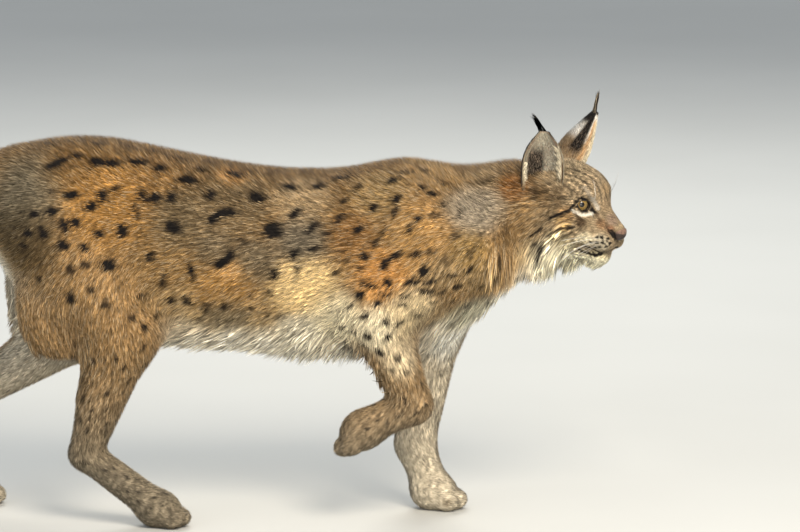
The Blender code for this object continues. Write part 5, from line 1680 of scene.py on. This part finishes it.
@dataclass
class Coat:
    """Short coat of the whole body, in pieces by body part.

    The face's values hold at stations along the head, and the painted shade darkens a tuft at its root
    while its tip is lighter.
    """

    lynx: Lynx
    markings: Markings
    amount: float = 1.0
    stations: tuple[float, ...] = (-0.09, -0.05, -0.015, 0.02)
    face_density: tuple[float, ...] = (3.6e5, 6.0e5, 1.05e6, 1.4e6)
    face_length: tuple[float, ...] = (0.0075, 0.0052, 0.0036, 0.0026)
    face_width: tuple[float, ...] = (0.0017, 0.0013, 0.0009, 0.0007)
    painted_shade_root_tip: tuple[float, float] = (0.48, 1.16)

    def on_face(self, p: Points, values: Sequence[float]) -> Points:
        """The value at each place, from values at the stations."""
        return curve_through(self.lynx.head.inward(p)[:, 0], self.stations, values)

    def names(self) -> list[str]:
        """The parts, in the order of the shares' columns."""
        return list(self.lynx.shares(np.zeros((1, 3))))

    def density(self, p: Points) -> Points:
        """Tufts for each square metre."""
        head = self.on_face(p, self.face_density)
        return self.lynx.blend(self.lynx.shares(p), 3.0e5, 2.1e5, 2.4e5, 1.4e5, head) * self.amount

    def build(self, ground: Ground) -> list[tuple[str, Slot, Mesh]]:
        """Grows the coat on the skin."""
        roots = ground.roots(self.density, 3)
        log.info("coat: %d tufts", len(roots.places))
        owner = roots.shares.argmax(axis=1)
        made = []
        for column, name in enumerate(self.names()):
            for label, part, slot in self.zones(name, roots, owner == column):
                if part.any():
                    made.append((label, slot, self.tufts(label, roots.take(part))))
        return made

    def zones(self, name: str, roots: Roots, mine: Points) -> list[tuple[str, Points, Slot]]:
        """The coat pieces of one part: name, roots and finish."""
        x, y = roots.places[:, 0], roots.places[:, 1]
        if name == "trunk":
            bands = (("rump", -9.0, -0.33), ("flank", -0.33, -0.05), ("shoulder", -0.05, 9.0))
            return [(f"coat_{side.name.lower()}_{band}",
                     mine & (x >= low) & (x < high) & ((y < 0) == (side is Side.RIGHT)),
                     Slot.BODY) for band, low, high in bands for side in Side]
        if name == "head":
            q = self.lynx.head.inward(roots.places)
            return [(f"coat_{side.name.lower()}_face",
                     mine & ((q[:, 1] < 0) == (side is Side.RIGHT)), Slot.HEAD) for side in Side]
        slot = Slot.PAW if name.endswith("paw") else Slot.TAIL if name == "tail" else Slot.BODY
        return [(f"coat_{name}", mine, slot)]

    def tufts(self, name: str, roots: Roots) -> Mesh:
        """One piece of the coat."""
        count = len(roots.places)
        draw = np.random.default_rng(len(name) * 7 + count % 97)
        shares = dict(zip(self.names(), roots.shares.T))
        length = self.lynx.blend(shares, 0.0088, 0.0082, 0.0062, 0.018,
                                 self.on_face(roots.places, self.face_length))
        width = self.lynx.blend(shares, 0.0019, 0.0018, 0.0014, 0.0024,
                                self.on_face(roots.places, self.face_width))
        length = length * draw.uniform(0.75, 1.25, count)
        width = width * draw.uniform(0.7, 1.3, count)
        lies, normals = roots.lies, roots.normals
        across = np.cross(normals, lies)
        lies = unit(lies + across * draw.normal(0, 0.10, count)[:, None])
        reach = draw.uniform(0.60, 1.0, count)
        tip = roots.places + lies * length[:, None] + normals * (roots.depths * reach)[:, None]
        level = in_blocks(self.lynx.distance, tip) + roots.depths * (1 - reach)
        tip = tip - normals * np.clip(level, -0.006, 0.006)[:, None]
        paths = np.stack((roots.places - normals * ROOT_DEPTH, tip), axis=1)
        below = roots.depths[:, None] * np.column_stack((np.ones(count), 1 - reach))
        colour = self.markings.along(paths + normals[:, None] * below[..., None], normals)
        turned = unit(normals + draw.normal(0, 0.16, normals.shape))
        # Painted shade: each tuft is darker at its root, where the hairs shade one another, and lighter
        # at its tip.
        colour = varied(colour, draw) * np.array(self.painted_shade_root_tip)[:, None]
        return tuft_mesh(name, Tuft(paths, width, turned, colour, chart_of(roots.places)))


@dataclass(frozen=True)
class Eye:
    """One eyeball with its lids' rim."""

    head: Head
    side: Side
    bulge: float = 0.0009
    gaze: tuple[float, float] = (0.56, 0.03)
    rim: float = 0.0009

    def axes(self) -> tuple[Points, Points, Points]:
        """Ways across and up the iris, and the way that the eye looks."""
        across, up, out = (np.array(axis) for axis in self.head.eye_axes(self.side))
        ahead = unit(out + across * self.gaze[0] + up * self.gaze[1])
        across = unit(across - ahead * (across @ ahead))
        return across, np.cross(ahead, across), ahead

    def ball(self) -> Mesh:
        """The eyeball with its clear bulge."""
        centre = self.head.eye_centre(self.side)
        ahead = self.axes()[2]
        solid = bmesh.new()
        bmesh.ops.create_uvsphere(solid, u_segments=64, v_segments=48, radius=self.head.eye_radius,
                                  matrix=Matrix.Translation(Vector(centre)) @ turned_to(ahead))
        for vert in solid.verts:
            facing = (vert.co - Vector(centre)).dot(Vector(ahead)) / self.head.eye_radius
            vert.co += Vector(ahead) * self.bulge * float(ramp(facing, 0.78, 0.97))
        return finished(solid, "eye")

    def lids(self) -> Mesh:
        """The dark bare edge of both lids."""
        edge = self.head.lid_edge(self.side, self.head.eye_radius + 0.0014, 48)
        high = np.sin(np.arange(48) * 2 * math.pi / 48)
        return loop_tube(edge, self.rim * (1.0 + 0.35 * np.maximum(high, 0)), "lids")

    def dress(self, dark: Material) -> None:
        """Adds both pieces."""
        name = self.side.name.lower()
        iris = EyeFinish(self.head.eye_centre(self.side), self.axes()[:2]).make()
        show(f"{name}_eyeball", Slot.EYE, self.ball(), iris, f"{name}_eye")
        mesh = self.lids()
        colour_attribute(mesh, (0.018, 0.014, 0.012))
        show(f"{name}_lids", Slot.HEAD, mesh, dark)


@dataclass(frozen=True)
class Nose:
    """Bare nose leather with its nostrils and the groove between them."""

    lynx: Lynx
    middle: Triple = (0.0535, 0.0, -0.0350)
    proud: float = 0.0002
    nostril: Triple = (0.0042, 0.0021, 0.0017)

    def build(self) -> Mesh:
        """The nose's own block of the head's form, rounded at its edges."""
        head, centre = self.lynx.head, np.array(self.middle)
        solid = bmesh.new()
        add_ball(solid, 5, Matrix())
        ways = np.array([vert.co for vert in solid.verts])
        reach = np.full(len(ways), 0.030)
        for point, way in head.nose_planes():
            towards = ways @ -unit(way)
            here = ((centre - point) @ unit(way) + 0.0002) / np.maximum(towards, 1e-3)
            reach = np.where(towards > 1e-3, smooth_min(reach, here, 0.0022), reach)
        out = np.zeros(len(ways))
        for _ in range(40):
            level = self.lynx.distance(head.outward(centre + ways * out[:, None])) - self.proud
            out = np.clip(out - level * 0.7, 0, 0.03)
        reach = smooth_min(reach, out, 0.0006)
        q = centre + ways * reach[:, None]
        groove = np.exp(-(q[:, 1] / 0.0007)**2) * ramp(q[:, 2], -0.0330, -0.0380)
        q[:, 0] -= 0.0011 * groove
        for vert, place in zip(solid.verts, head.outward(q)):
            vert.co = place
        mesh = finished(solid, "nose")
        return carved(mesh, [self.hole(side) for side in Side])

    def hole(self, side: Side) -> Mesh:
        """The comma of one nostril."""
        solid = bmesh.new()
        for ahead, out, up, turn, scale in ((0.0612, 0.0050, -0.0362, 0.5, 1.0),
                                            (0.0588, 0.0082, -0.0376, 1.1, 0.85)):
            place = Matrix.Translation((ahead, side.value * out, up))
            turned = Matrix.Rotation(side.value * turn, 4, "Z")
            size = Matrix.Diagonal((*(value * scale for value in self.nostril), 1))
            add_ball(solid, 3, self.lynx.head.matrix() @ place @ turned @ size)
        return finished(solid, "nostril")

    def colours(self, p: Points) -> Points:
        """Pinkish brown on top, black round the nostrils and below, and darker as painted shade where it
        sinks into the nostrils and the groove.
        """
        q = self.lynx.head.inward(p)
        low = ramp(q[:, 2] + 0.0008 * waves(p, 0.004, 71), -0.0300, -0.0326)
        # Painted shade: darker where the leather lies below the head's form, in the nostrils and the
        # groove.
        deep = ramp(self.lynx.distance(p), -0.0006, -0.0016)[:, None]
        return covered((0.29, 0.175, 0.125), low, (0.014, 0.010, 0.009)) * (1 - 0.8 * deep)

    def dress(self) -> None:
        """Adds the nose."""
        mesh = self.build()
        colour_attribute(mesh, self.colours(vertex_points(mesh)))
        leather = LeatherFinish("nose_leather", (0.045, 0.028, 0.022), 0.42).make()
        show("nose_pad", Slot.NOSE, mesh, leather, "nose")


@dataclass(frozen=True)
class Ear:
    """A cupped leaf of skin with short hair behind, long pale hair inside and a black tuft."""

    name: str
    root: Triple
    tip: Triple
    facing: Triple
    tuft_lean: Triple
    front: int
    slim: float = 0.0
    wall: float = 0.0016
    back_hairs: int = 9000
    inner_hairs: int = 8000
    edge_hairs: int = 700
    tuft_hairs: int = 90
    tuft_length: float = 0.035
    back_width: float = 0.0012
    inner_width: float = 0.0011
    tuft_width: float = 0.0008
    outline: tuple[Triple, ...] = (
        (0.00, 0.0235, 0.0260), (0.15, 0.0275, 0.0250), (0.35, 0.0292, 0.0200),
        (0.50, 0.0288, 0.0155), (0.65, 0.0262, 0.0110), (0.80, 0.0195, 0.0060),
        (0.92, 0.0110, 0.0025), (1.00, 0.0045, 0.0010))

    def frame(self) -> tuple[Points, Points, Points, Points, float]:
        """Sunk root, ways up, across and out of the cup, and the length."""
        root, tip = np.array(self.root), np.array(self.tip)
        up = unit(tip - root)
        facing = np.array(self.facing)
        facing = unit(facing - up * (facing @ up))
        root = root - up * 0.012
        return root, up, np.cross(up, facing), facing, float(np.linalg.norm(tip - root))

    def leaf(self, share: Points, turn: Points, behind: float) -> tuple[Points, Points]:
        """Points of the cup at shares of its height and turns across it, and their normals."""
        root, up, across, facing, length = self.frame()
        stations, wides, deeps = zip(*self.outline)
        wide = curve_through(share, stations, wides) * (1 - self.slim * ramp(share, 0.30, 0.85))
        wide += behind * np.abs(np.sin(turn)) * 0.5
        deep = curve_through(share, stations, deeps) + behind
        side, back = np.sin(turn)[:, None], np.cos(turn)[:, None]
        p = root + up * (length * share)[:, None] + across * side * wide[:, None]
        p = p - facing * back * deep[:, None]
        return p, unit(across * side - facing * (back + 0.05))

    def skin(self) -> Mesh:
        """The leaf with an even wall."""
        solid = bmesh.new()
        bmesh.ops.create_grid(solid, x_segments=32, y_segments=40, size=1.0)
        flat = np.array([vert.co for vert in solid.verts])
        places, _ = self.leaf(np.clip(flat[:, 1] / 2 + 0.5, 0, 1), flat[:, 0] * math.pi / 2, 0.0008)
        for vert, place in zip(solid.verts, places):
            vert.co = place
        bmesh.ops.solidify(solid, geom=solid.faces[:], thickness=self.wall)
        bmesh.ops.recalc_face_normals(solid, faces=solid.faces)
        return finished(solid, "ear")

    def back_colour(self, share: Points, turn: Points) -> Points:
        """A pale patch behind the tip, a black band along the front edge, brown below."""
        front = turn * self.front
        band = ramp(front, 0.05, 0.30) * ramp(front, 1.00, 0.75) * ramp(share, 0.25, 0.42)
        tip = ramp(share, 0.70, 0.84) * ramp(front, 1.00, 0.75)
        edge = np.maximum(ramp(front, -1.05, -1.30), np.maximum(tip, ramp(share, 0.90, 0.97)))
        made = covered((0.80, 0.79, 0.76), ramp(share, 0.62, 0.46), (0.23, 0.155, 0.085))
        rim = covered((0.50, 0.29, 0.13), ramp(front, 1.05, 1.45), (0.76, 0.68, 0.50))
        made = covered(made, ramp(front, 0.85, 1.10) * ramp(share, 0.92, 0.82), rim)
        return covered(made, np.maximum(band, edge), Ink.BLACK.value)

    def back(self, draw: Draw, amount: float) -> Tuft:
        """Short hair over the back of the leaf."""
        count = int(self.back_hairs * amount)
        share, turn = draw.uniform(0.02, 0.985, count), draw.uniform(-1.62, 1.62, count)
        place, normal = self.leaf(share, turn, 0.0018)
        way = self.frame()[1] + 0.12 * normal + draw.normal(0, 0.12, (count, 3))
        length = draw.uniform(0.0040, 0.0070, count) * (1.1 - 0.6 * share)
        colour = varied(self.back_colour(share, turn), draw)
        return strand(place, way, way, length, self.back_width, normal, colour, 1)

    def inner_colour(self, share: Points, turn: Points) -> Points:
        """Grey fur, a cream rim behind, a tan rim in front, and painted shade that darkens the hollow
        between.
        """
        front = turn * self.front
        # Painted shade: the hollow of the cup between the rims is darkened almost to black.
        hollow = (ramp(front, -1.05, -0.80) * ramp(front, 0.15, -0.15)
                  * ramp(share, 0.10, 0.24) * ramp(share, 0.80, 0.62))[:, None]
        made = covered((0.31, 0.295, 0.24), ramp(front, -1.20, -1.42), (0.60, 0.53, 0.38))
        made = covered(made, ramp(front, 1.22, 1.45), (0.46, 0.27, 0.12))
        return made * (1 - hollow * 0.96)

    def inner(self, draw: Draw, amount: float) -> Tuft:
        """Short grey hair inside the cup."""
        count = int(self.inner_hairs * amount)
        share, turn = draw.uniform(0.05, 0.965, count), draw.uniform(-1.56, 1.56, count)
        place, normal = self.leaf(share, turn, -0.0002)
        way = self.frame()[1] - 0.20 * normal + draw.normal(0, 0.20, (count, 3))
        colour = varied(self.inner_colour(share, turn), draw)
        length = draw.uniform(0.004, 0.0075, count) * (1.15 - 0.5 * share)
        return strand(place, way, way, length, self.inner_width, -normal, colour, 1)

    def edges(self, draw: Draw, amount: float) -> Tuft:
        """Long pale hair that grows from the front edge across the opening, and some behind."""
        count = int(self.edge_hairs * amount)
        fore = draw.uniform(0, 1, count) < 0.72
        side = np.where(fore, self.front, -self.front).astype(float)
        share = np.where(fore, draw.uniform(0.15, 0.72, count), draw.uniform(0.10, 0.50, count))
        turn = side * draw.uniform(1.00, 1.40, count)
        place, normal = self.leaf(share, turn, 0.0)
        _, up, across, facing, _ = self.frame()
        start = up * 0.9 - across * side[:, None] * 0.4 + facing * 0.25
        end = up * 0.9 - across * side[:, None] * 0.50 - facing * 0.10
        length = draw.uniform(0.007, 0.015, count) * np.where(fore, 1.0, 0.45)
        base = np.where(fore[:, None], (0.44, 0.39, 0.29), (0.62, 0.57, 0.44))
        scatter = draw.normal(0, 0.16, (count, 3))
        return strand(place, start + scatter, end + scatter, length, self.inner_width, facing,
                      varied(base, draw), 3)

    def tuft(self, draw: Draw, amount: float) -> Tuft:
        """The long black tuft at the tip."""
        count = int(self.tuft_hairs * (0.5 + 0.5 * amount))
        share, turn = draw.uniform(0.93, 1.0, count), draw.uniform(-0.9, 0.9, count)
        place, normal = self.leaf(share, turn, 0.0012)
        up, lean = self.frame()[1], unit(np.array(self.tuft_lean))
        middle = place.mean(axis=0)
        scatter = draw.normal(0, 0.035, (count, 3)) - (place - middle) * 45
        length = self.tuft_length * draw.uniform(0.55, 1.0, count)
        pale = (draw.uniform(0, 1, count) < 0.14)[:, None]
        colour = np.where(pale, (0.34, 0.28, 0.19), Ink.BLACK.value)
        return strand(place, up * 0.35 + lean * 0.65 + scatter, lean + draw.normal(0, 0.07, (count, 3)),
                      length, self.tuft_width, normal, colour, 4)

    def dress(self, fur: Material, amount: float) -> None:
        """Adds the ear's pieces."""
        draw = np.random.default_rng(len(self.name))
        mesh = self.skin()
        colour_attribute(mesh, (0.20, 0.15, 0.11))
        show(f"{self.name}_skin", Slot.EAR, mesh, SkinFinish("ear_skin").make(), self.name)
        groups = {"back": self.back, "inner": self.inner, "edges": self.edges, "tuft": self.tuft}
        for label, grow in groups.items():
            show(f"{self.name}_{label}", Slot.EAR, tuft_mesh(label, grow(draw, amount)), fur)


EARS = (
    Ear("right_ear", (0.2035, -0.0620, 0.4860), (0.2070, -0.0660, 0.5740), (-0.10, -1.00, 0.10),
        (-0.62, -0.06, 0.76), 1),
    Ear("left_ear", (0.2420, 0.0160, 0.5100), (0.2840, 0.0230, 0.5900), (0.80, 0.60, -0.10),
        (0.14, 0.02, 1.00), -1, 0.30),
)


def strand(place: Points, start: Points, end: Points, length: Points, width: Points | float,
           normal: Points, colour: Points | Triple, steps: int) -> Tuft:
    """Hairs that leave their roots one way and bend to another.

    Args:
        place: Roots, one row a hair.
        start: The way out at the root.
        end: The way at the tip.
        length: Length of each hair.
        width: Width of each hair, or of all.
        normal: Shading normal of each hair, or of all.
        colour: Colour of each hair, or of all.
        steps: Segments of a hair.

    Returns:
        The hairs, darker at the root as painted shade.
    """
    start, end = unit(start), unit(end)
    path = [place]
    for step in range(steps):
        share = (step + 0.5) / steps
        way = unit(start * (1 - share) + end * share)
        path.append(path[-1] + way * (length / steps)[:, None])
    # Painted shade: each hair darker at its root, lighter at its tip.
    shade = np.linspace(0.60, 1.10, steps + 1)[None, :, None]
    normal, colour = np.broadcast_to(normal, place.shape), np.broadcast_to(colour, place.shape)
    return Tuft(np.stack(path, axis=1), np.full(len(place), width), normal, colour[:, None] * shade,
                chart_of(place))


@dataclass(frozen=True)
class LongHair:
    """A zone of long hair: where it grows, and how it hangs."""

    name: str
    slot: Slot
    density: float
    length: float
    width: float
    where: Callable[[Lynx, Points], Points]
    hang: Callable[[Lynx, Points], Points]
    low: Triple
    high: Triple
    lift: float = 0.30
    steps: int = 3
    clump: float = 0.55
    bunch: int = 14

    def build(self, ground: Ground, markings: Markings, amount: float) -> Mesh:
        """Grows the zone."""
        lynx = ground.lynx
        ground = ground.within(self.low, self.high)
        roots = ground.roots(lambda p: self.density * amount * self.where(lynx, p), len(self.name))
        count = len(roots.places)
        draw = np.random.default_rng(count)
        end = unit(self.hang(lynx, roots.places))
        start = unit(roots.lies + end * 0.6 + roots.normals * self.lift)
        scatter = draw.normal(0, 0.10, (count, 3))
        inward = (end * roots.normals).sum(axis=1)[:, None]
        end = end - roots.normals * np.minimum(inward, 0) * 0.9
        length = self.length * draw.uniform(0.60, 1.10, count) * (
            0.55 + 0.45 * np.clip(self.where(lynx, roots.places), 0, 1))
        width = self.width * draw.uniform(0.7, 1.3, count)
        made = strand(roots.places - roots.normals * ROOT_DEPTH, start + scatter, end + scatter, length,
                      width, roots.normals, (1, 1, 1), self.steps)
        self.gather(made, draw)
        for step in range(1, self.steps + 1):
            point = made.paths[:, step]
            level = in_blocks(lynx.distance, point)
            out = np.maximum(-level - roots.depths * 0.8, 0)[:, None]
            made.paths[:, step] = point + roots.normals * np.minimum(out, 0.012)
        base = markings.along(made.paths, roots.normals, 1)
        made.colours[:] = made.colours * varied(base, draw)
        return tuft_mesh(self.name, made)

    def gather(self, hairs: Tuft, draw: Draw) -> None:
        """Draws the tips of neighbouring hairs together."""
        roots = hairs.paths[:, 0]
        guides = draw.choice(len(roots), max(1, len(roots) // self.bunch), replace=False)

        def nearest(rows: Points) -> Points:
            """The guide nearest to each root."""
            away = ((rows[:, None] - roots[guides][None])**2).sum(axis=2)
            return away.argmin(axis=1).astype(float)

        mine = guides[in_blocks(nearest, roots, 1000).astype(int)]
        pull = self.clump * draw.uniform(0.5, 1.2, len(roots))
        for step in range(1, hairs.paths.shape[1]):
            share = np.minimum(pull * (step / (hairs.paths.shape[1] - 1))**1.3, 0.9)[:, None]
            hairs.paths[:, step] += (hairs.paths[mine, step] - hairs.paths[:, step]) * share


def cheek_place(lynx: Lynx, p: Points) -> Points:
    """The ruff: from under the ear down to the jaw."""
    q = lynx.head.inward(p)
    out = ramp(np.abs(q[:, 1]), 0.030, 0.045)
    back = ramp(q[:, 0], 0.000, -0.020) * ramp(q[:, 0], -0.105, -0.080)
    slope = ramp(q[:, 2] - (q[:, 0] + 0.03) * 0.6, -0.024, -0.046)
    return out * back * slope * ramp(q[:, 2], -0.115, -0.100)


def cheek_hang(lynx: Lynx, p: Points) -> Points:
    """The ruff hangs down and a little back and out."""
    q = lynx.head.inward(p)
    high = ramp(q[:, 2], -0.070, -0.020)
    side = np.sign(q[:, 1])
    return columns(-0.10 - 0.35 * high, side * (0.05 + 0.25 * high), -0.95) @ lynx.head.axes().T


def chin_place(lynx: Lynx, p: Points) -> Points:
    """Under the chin and along the jaw."""
    q = lynx.head.inward(p)
    under = ramp(q[:, 2], -0.078, -0.086) * ramp(q[:, 2], -0.120, -0.105)
    return under * ramp(q[:, 0], 0.040, 0.028) * ramp(q[:, 0], -0.050, -0.020)


def chin_hang(lynx: Lynx, p: Points) -> Points:
    """Back and down from the chin."""
    q = lynx.head.inward(p)
    return columns(-0.45, q[:, 1] * 6, -0.85) @ lynx.head.axes().T


def belly_place(lynx: Lynx, p: Points) -> Points:
    """Under the belly between fore and hind legs."""
    x, y = p[:, 0], np.abs(p[:, 1])
    _, belly = lynx.trunk.levels(x)
    low = ramp(p[:, 2] - belly, 0.065, 0.030) * ramp(y, 0.115, 0.085)
    return low * ramp(x, -0.48, -0.42) * ramp(x, 0.02, -0.03) * lynx.shares(p)["trunk"]


def belly_hang(lynx: Lynx, p: Points) -> Points:
    """Backward and down, steeper behind the forelegs."""
    fore = ramp(p[:, 0], -0.22, -0.08)
    return columns(-0.90 + 0.45 * fore, p[:, 1] * 1.5, -0.42 - 0.45 * fore)


def chest_place(lynx: Lynx, p: Points) -> Points:
    """Breast and throat, ahead of the forelegs."""
    x, y = p[:, 0], np.abs(p[:, 1])
    back, belly = lynx.trunk.levels(x)
    low = ramp(p[:, 2] - belly, (back - belly) * 0.27, (back - belly) * 0.10)
    return low * ramp(x, -0.02, 0.05) * ramp(y, 0.095, 0.060) * lynx.shares(p)["trunk"]


def chest_hang(lynx: Lynx, p: Points) -> Points:
    """Down and a little back."""
    return columns(-0.50, p[:, 1] * 2.0, -0.86)


def leg_place(lynx: Lynx, p: Points) -> Points:
    """The back of the upper legs."""
    shares = lynx.shares(p)
    behind = ramp(lynx.slope(p)[:, 0], -0.35, -0.85)
    upper = ramp(p[:, 2], 0.16, 0.21) * ramp(p[:, 2], 0.40, 0.34)
    return sum(shares[leg.name] for leg in lynx.legs) * behind * upper


def leg_hang(lynx: Lynx, p: Points) -> Points:
    """Down the leg and a little back."""
    total = np.zeros((len(p), 3))
    shares = lynx.shares(p)
    for leg in lynx.legs:
        total += leg.chain.way(p) * shares[leg.name][:, None]
    return unit(total) + np.array((-0.25, 0, -0.35))


def tail_place(lynx: Lynx, p: Points) -> Points:
    """All round the tail."""
    return lynx.shares(p)["tail"] * ramp(p[:, 0], -0.60, -0.63)


def tail_hang(lynx: Lynx, p: Points) -> Points:
    """Along the tail, closing to its tip."""
    return lynx.tail.way(p)


LONG_HAIR = (
    LongHair("ruff", Slot.HEAD, 4.2e5, 0.046, 0.0012, cheek_place, cheek_hang,
             (0.13, -0.16, 0.32), (0.33, 0.12, 0.50)),
    LongHair("beard", Slot.HEAD, 3.6e5, 0.017, 0.0010, chin_place, chin_hang,
             (0.18, -0.13, 0.32), (0.36, 0.08, 0.43)),
    LongHair("belly_fringe", Slot.BODY, 1.0e5, 0.044, 0.0019, belly_place, belly_hang,
             (-0.50, -0.13, 0.18), (0.04, 0.13, 0.36), 0.15),
    LongHair("breast", Slot.BODY, 1.2e5, 0.050, 0.0018, chest_place, chest_hang,
             (-0.04, -0.12, 0.18), (0.30, 0.12, 0.45), 0.20),
    LongHair("leg_feather", Slot.BODY, 1.0e5, 0.026, 0.0015, leg_place, leg_hang,
             (-0.70, -0.16, 0.15), (0.12, 0.16, 0.41), 0.20),
    LongHair("tail_hair", Slot.TAIL, 1.2e5, 0.038, 0.0018, tail_place, tail_hang,
             (-0.80, -0.10, 0.20), (-0.57, 0.10, 0.56), 0.15),
)


@dataclass(frozen=True)
class Whiskers:
    """Stiff white hairs of the muzzle and the brows."""

    lynx: Lynx
    rows: tuple[Triple, ...] = (
        (0.034, -0.0400, 0.058), (0.027, -0.0395, 0.062), (0.038, -0.0445, 0.054),
        (0.031, -0.0440, 0.068), (0.024, -0.0430, 0.060), (0.035, -0.0490, 0.050),
        (0.028, -0.0490, 0.062), (0.021, -0.0480, 0.054), (0.030, -0.0530, 0.040))
    brows: tuple[Triple, ...] = ((0.010, 0.017, 0.022), (0.006, 0.020, 0.028), (0.013, 0.013, 0.018))
    width: float = 0.00042
    sunk: float = 0.002
    colour: Triple = (0.86, 0.83, 0.76)
    steps: int = 8

    def build(self) -> Mesh:
        """All of them as long thin tapered hairs."""
        draw = np.random.default_rng(5)
        head = self.lynx.head
        place, start, end, length = [], [], [], []
        for side in Side:
            out = side.value
            for ahead, up, long in self.rows:
                place.append((ahead, out * 0.030, up))
                start.append((-0.20, out * 0.95, -0.05 + (up + 0.046) * 25))
                end.append((-0.70, out * 0.55, -0.60 + (up + 0.046) * 45))
                length.append(long)
            for ahead, up, long in self.brows:
                place.append((ahead, out * 0.024, up))
                start.append((0.45, out * 0.35, 0.85))
                end.append((-0.25, out * 0.65, 0.80))
                length.append(long)
        roots = self.lynx.settled(head.outward(place), 10)
        turn = head.axes().T
        count = len(roots)
        scatter = draw.normal(0, 0.06, (count, 3))
        roots = roots - self.lynx.slope(roots) * self.sunk
        made = strand(roots, np.array(start) @ turn + scatter, np.array(end) @ turn + scatter,
                      np.array(length), self.width, self.lynx.slope(roots), self.colour, self.steps)
        return tuft_mesh("whiskers", made, 0.8)


def show(name: str, slot: Slot, mesh: Mesh, material: Material, *nodes: str) -> None:
    """Puts a piece in the scene, in the part's frame, and hides the imported nodes it stands for."""
    mesh.name = name
    mesh.materials.append(material)
    mesh.transform(Matrix.Translation(BODY_SHIFT.tolist()))
    made = put(name, mesh)
    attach(made, "root")
    if nodes:
        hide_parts(*nodes)
    log.info("%s: %d faces", name, len(mesh.polygons))


def vertex_normals(mesh: Mesh) -> Points:
    """A mesh's point normals as an array."""
    flat = np.empty(len(mesh.vertices) * 3, np.float32)
    mesh.vertex_normals.foreach_get("vector", flat)
    return flat.reshape(-1, 3).astype(float)


@dataclass(frozen=True)
class Studio:
    """Pale floor, soft lights and the photo's camera.

    Each light has its name, place, size, power in watts and colour.
    """

    floor_size: float = 40.0
    lights: tuple[tuple[str, Triple, float, float, Triple], ...] = (
        ("key", (1.1, -2.6, 2.6), 1.5, 176.0, (1.0, 0.88, 0.72)),
        ("fill", (-2.8, -2.4, 1.5), 2.2, 24.0, (0.92, 0.95, 1.0)),
        ("low", (0.5, -2.9, 0.30), 1.8, 48.0, (1.0, 0.92, 0.80)),
        ("rim", (0.2, 2.9, 2.7), 2.0, 95.0, (1.0, 0.97, 0.90)))
    aim: Triple = (0.0, 0.0, 0.35)
    sky: Triple = (0.90, 0.95, 1.0)
    sky_strength: float = 0.62

    def build(self) -> None:
        """Adds the whole stage."""
        self.floor()
        self.camera()
        for row in self.lights:
            self.light(*row)
        world = bpy.data.worlds.new("studio")
        world.use_nodes = True
        sky = world.node_tree.nodes["Background"]
        sky.inputs["Color"].default_value = (*self.sky, 1)
        sky.inputs["Strength"].default_value = self.sky_strength
        bpy.context.scene.world = world
        bpy.context.scene.view_settings.view_transform = "Standard"

    def floor(self) -> None:
        """A plain pale floor."""
        solid = bmesh.new()
        bmesh.ops.create_grid(solid, x_segments=1, y_segments=1, size=self.floor_size / 2)
        mesh = finished(solid, "floor")
        shader = Shader("floor")
        tone = shader.noise(2.0, 2.0)
        shader.set(Base_Color=shader.mix(tone, (0.45, 0.46, 0.45, 1), (0.50, 0.51, 0.50, 1)),
                   Roughness=0.8)
        mesh.materials.append(shader.material)
        put("floor", mesh)

    def camera(self) -> None:
        """The camera at the photo's place and framing."""
        camera = bpy.data.cameras.new("camera")
        camera.sensor_width = 36.0
        camera.lens = CAMERA_AWAY * camera.sensor_width / (PHOTO_WIDTH * PIXEL)
        camera.clip_end = 100.0
        made = put("camera", camera)
        rise = math.radians(CAMERA_HEIGHT)
        back = Vector((0, -math.cos(rise), math.sin(rise)))
        made.location = Vector(LOOK_AT + BODY_SHIFT) + back * CAMERA_AWAY
        made.rotation_euler = (math.radians(90) - rise, 0, 0)
        bpy.context.scene.camera = made

    def light(self, name: str, place: Triple, size: float, power: float, colour: Triple) -> None:
        """A soft square light that faces the animal."""
        lamp = bpy.data.lights.new(name, "AREA")
        lamp.size = size
        lamp.energy = power
        lamp.color = colour
        made = put(name, lamp)
        made.location = place
        ahead = Vector(self.aim) - Vector(place)
        made.rotation_euler = ahead.to_track_quat("-Z", "Y").to_euler()


def main() -> None:
    """Builds the animal and the studio."""
    logging.basicConfig(level=logging.INFO, format="%(message)s")
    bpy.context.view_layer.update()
    lynx = Lynx()
    markings = Markings(lynx)
    markings.prepare()
    skin = Skin(lynx)
    skin.build()
    points, normals = vertex_points(skin.mesh), vertex_normals(skin.mesh)
    outside = points + normals * lynx.depth(points, lynx.shares(points))[:, None]
    # The skin takes the coat's colours, darkened as painted shade under the hairs.
    colour_attribute(skin.mesh, markings.along(outside[:, None], normals)[:, 0] * UNDERFUR_SHADE)
    amount = 1.0
    fur = FurFinish("fur").make()
    ground = Ground.of(lynx, skin.mesh)
    for name, slot, mesh in Coat(lynx, markings, amount).build(ground):
        show(name, slot, mesh, fur)
    for zone in LONG_HAIR:
        show(zone.name, zone.slot, zone.build(ground, markings, amount), fur)
    flesh = [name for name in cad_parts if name.split("_")[-1] not in ("eye", "ear", "nose")]
    show("skin", Slot.BODY, skin.mesh, SkinFinish().make(), *flesh)
    dark = LeatherFinish("lid_leather", (0.012, 0.010, 0.009), 0.30).make()
    for side in Side:
        Eye(lynx.head, side).dress(dark)
    Nose(lynx).dress()
    for ear in EARS:
        ear.dress(fur, amount)
    stiff = FurFinish("whisker", 0.35, 0.0, 0.4).make()
    show("whiskers", Slot.HEAD, Whiskers(lynx).build(), stiff)
    Studio().build()


if __name__ == "__main__":
    main()
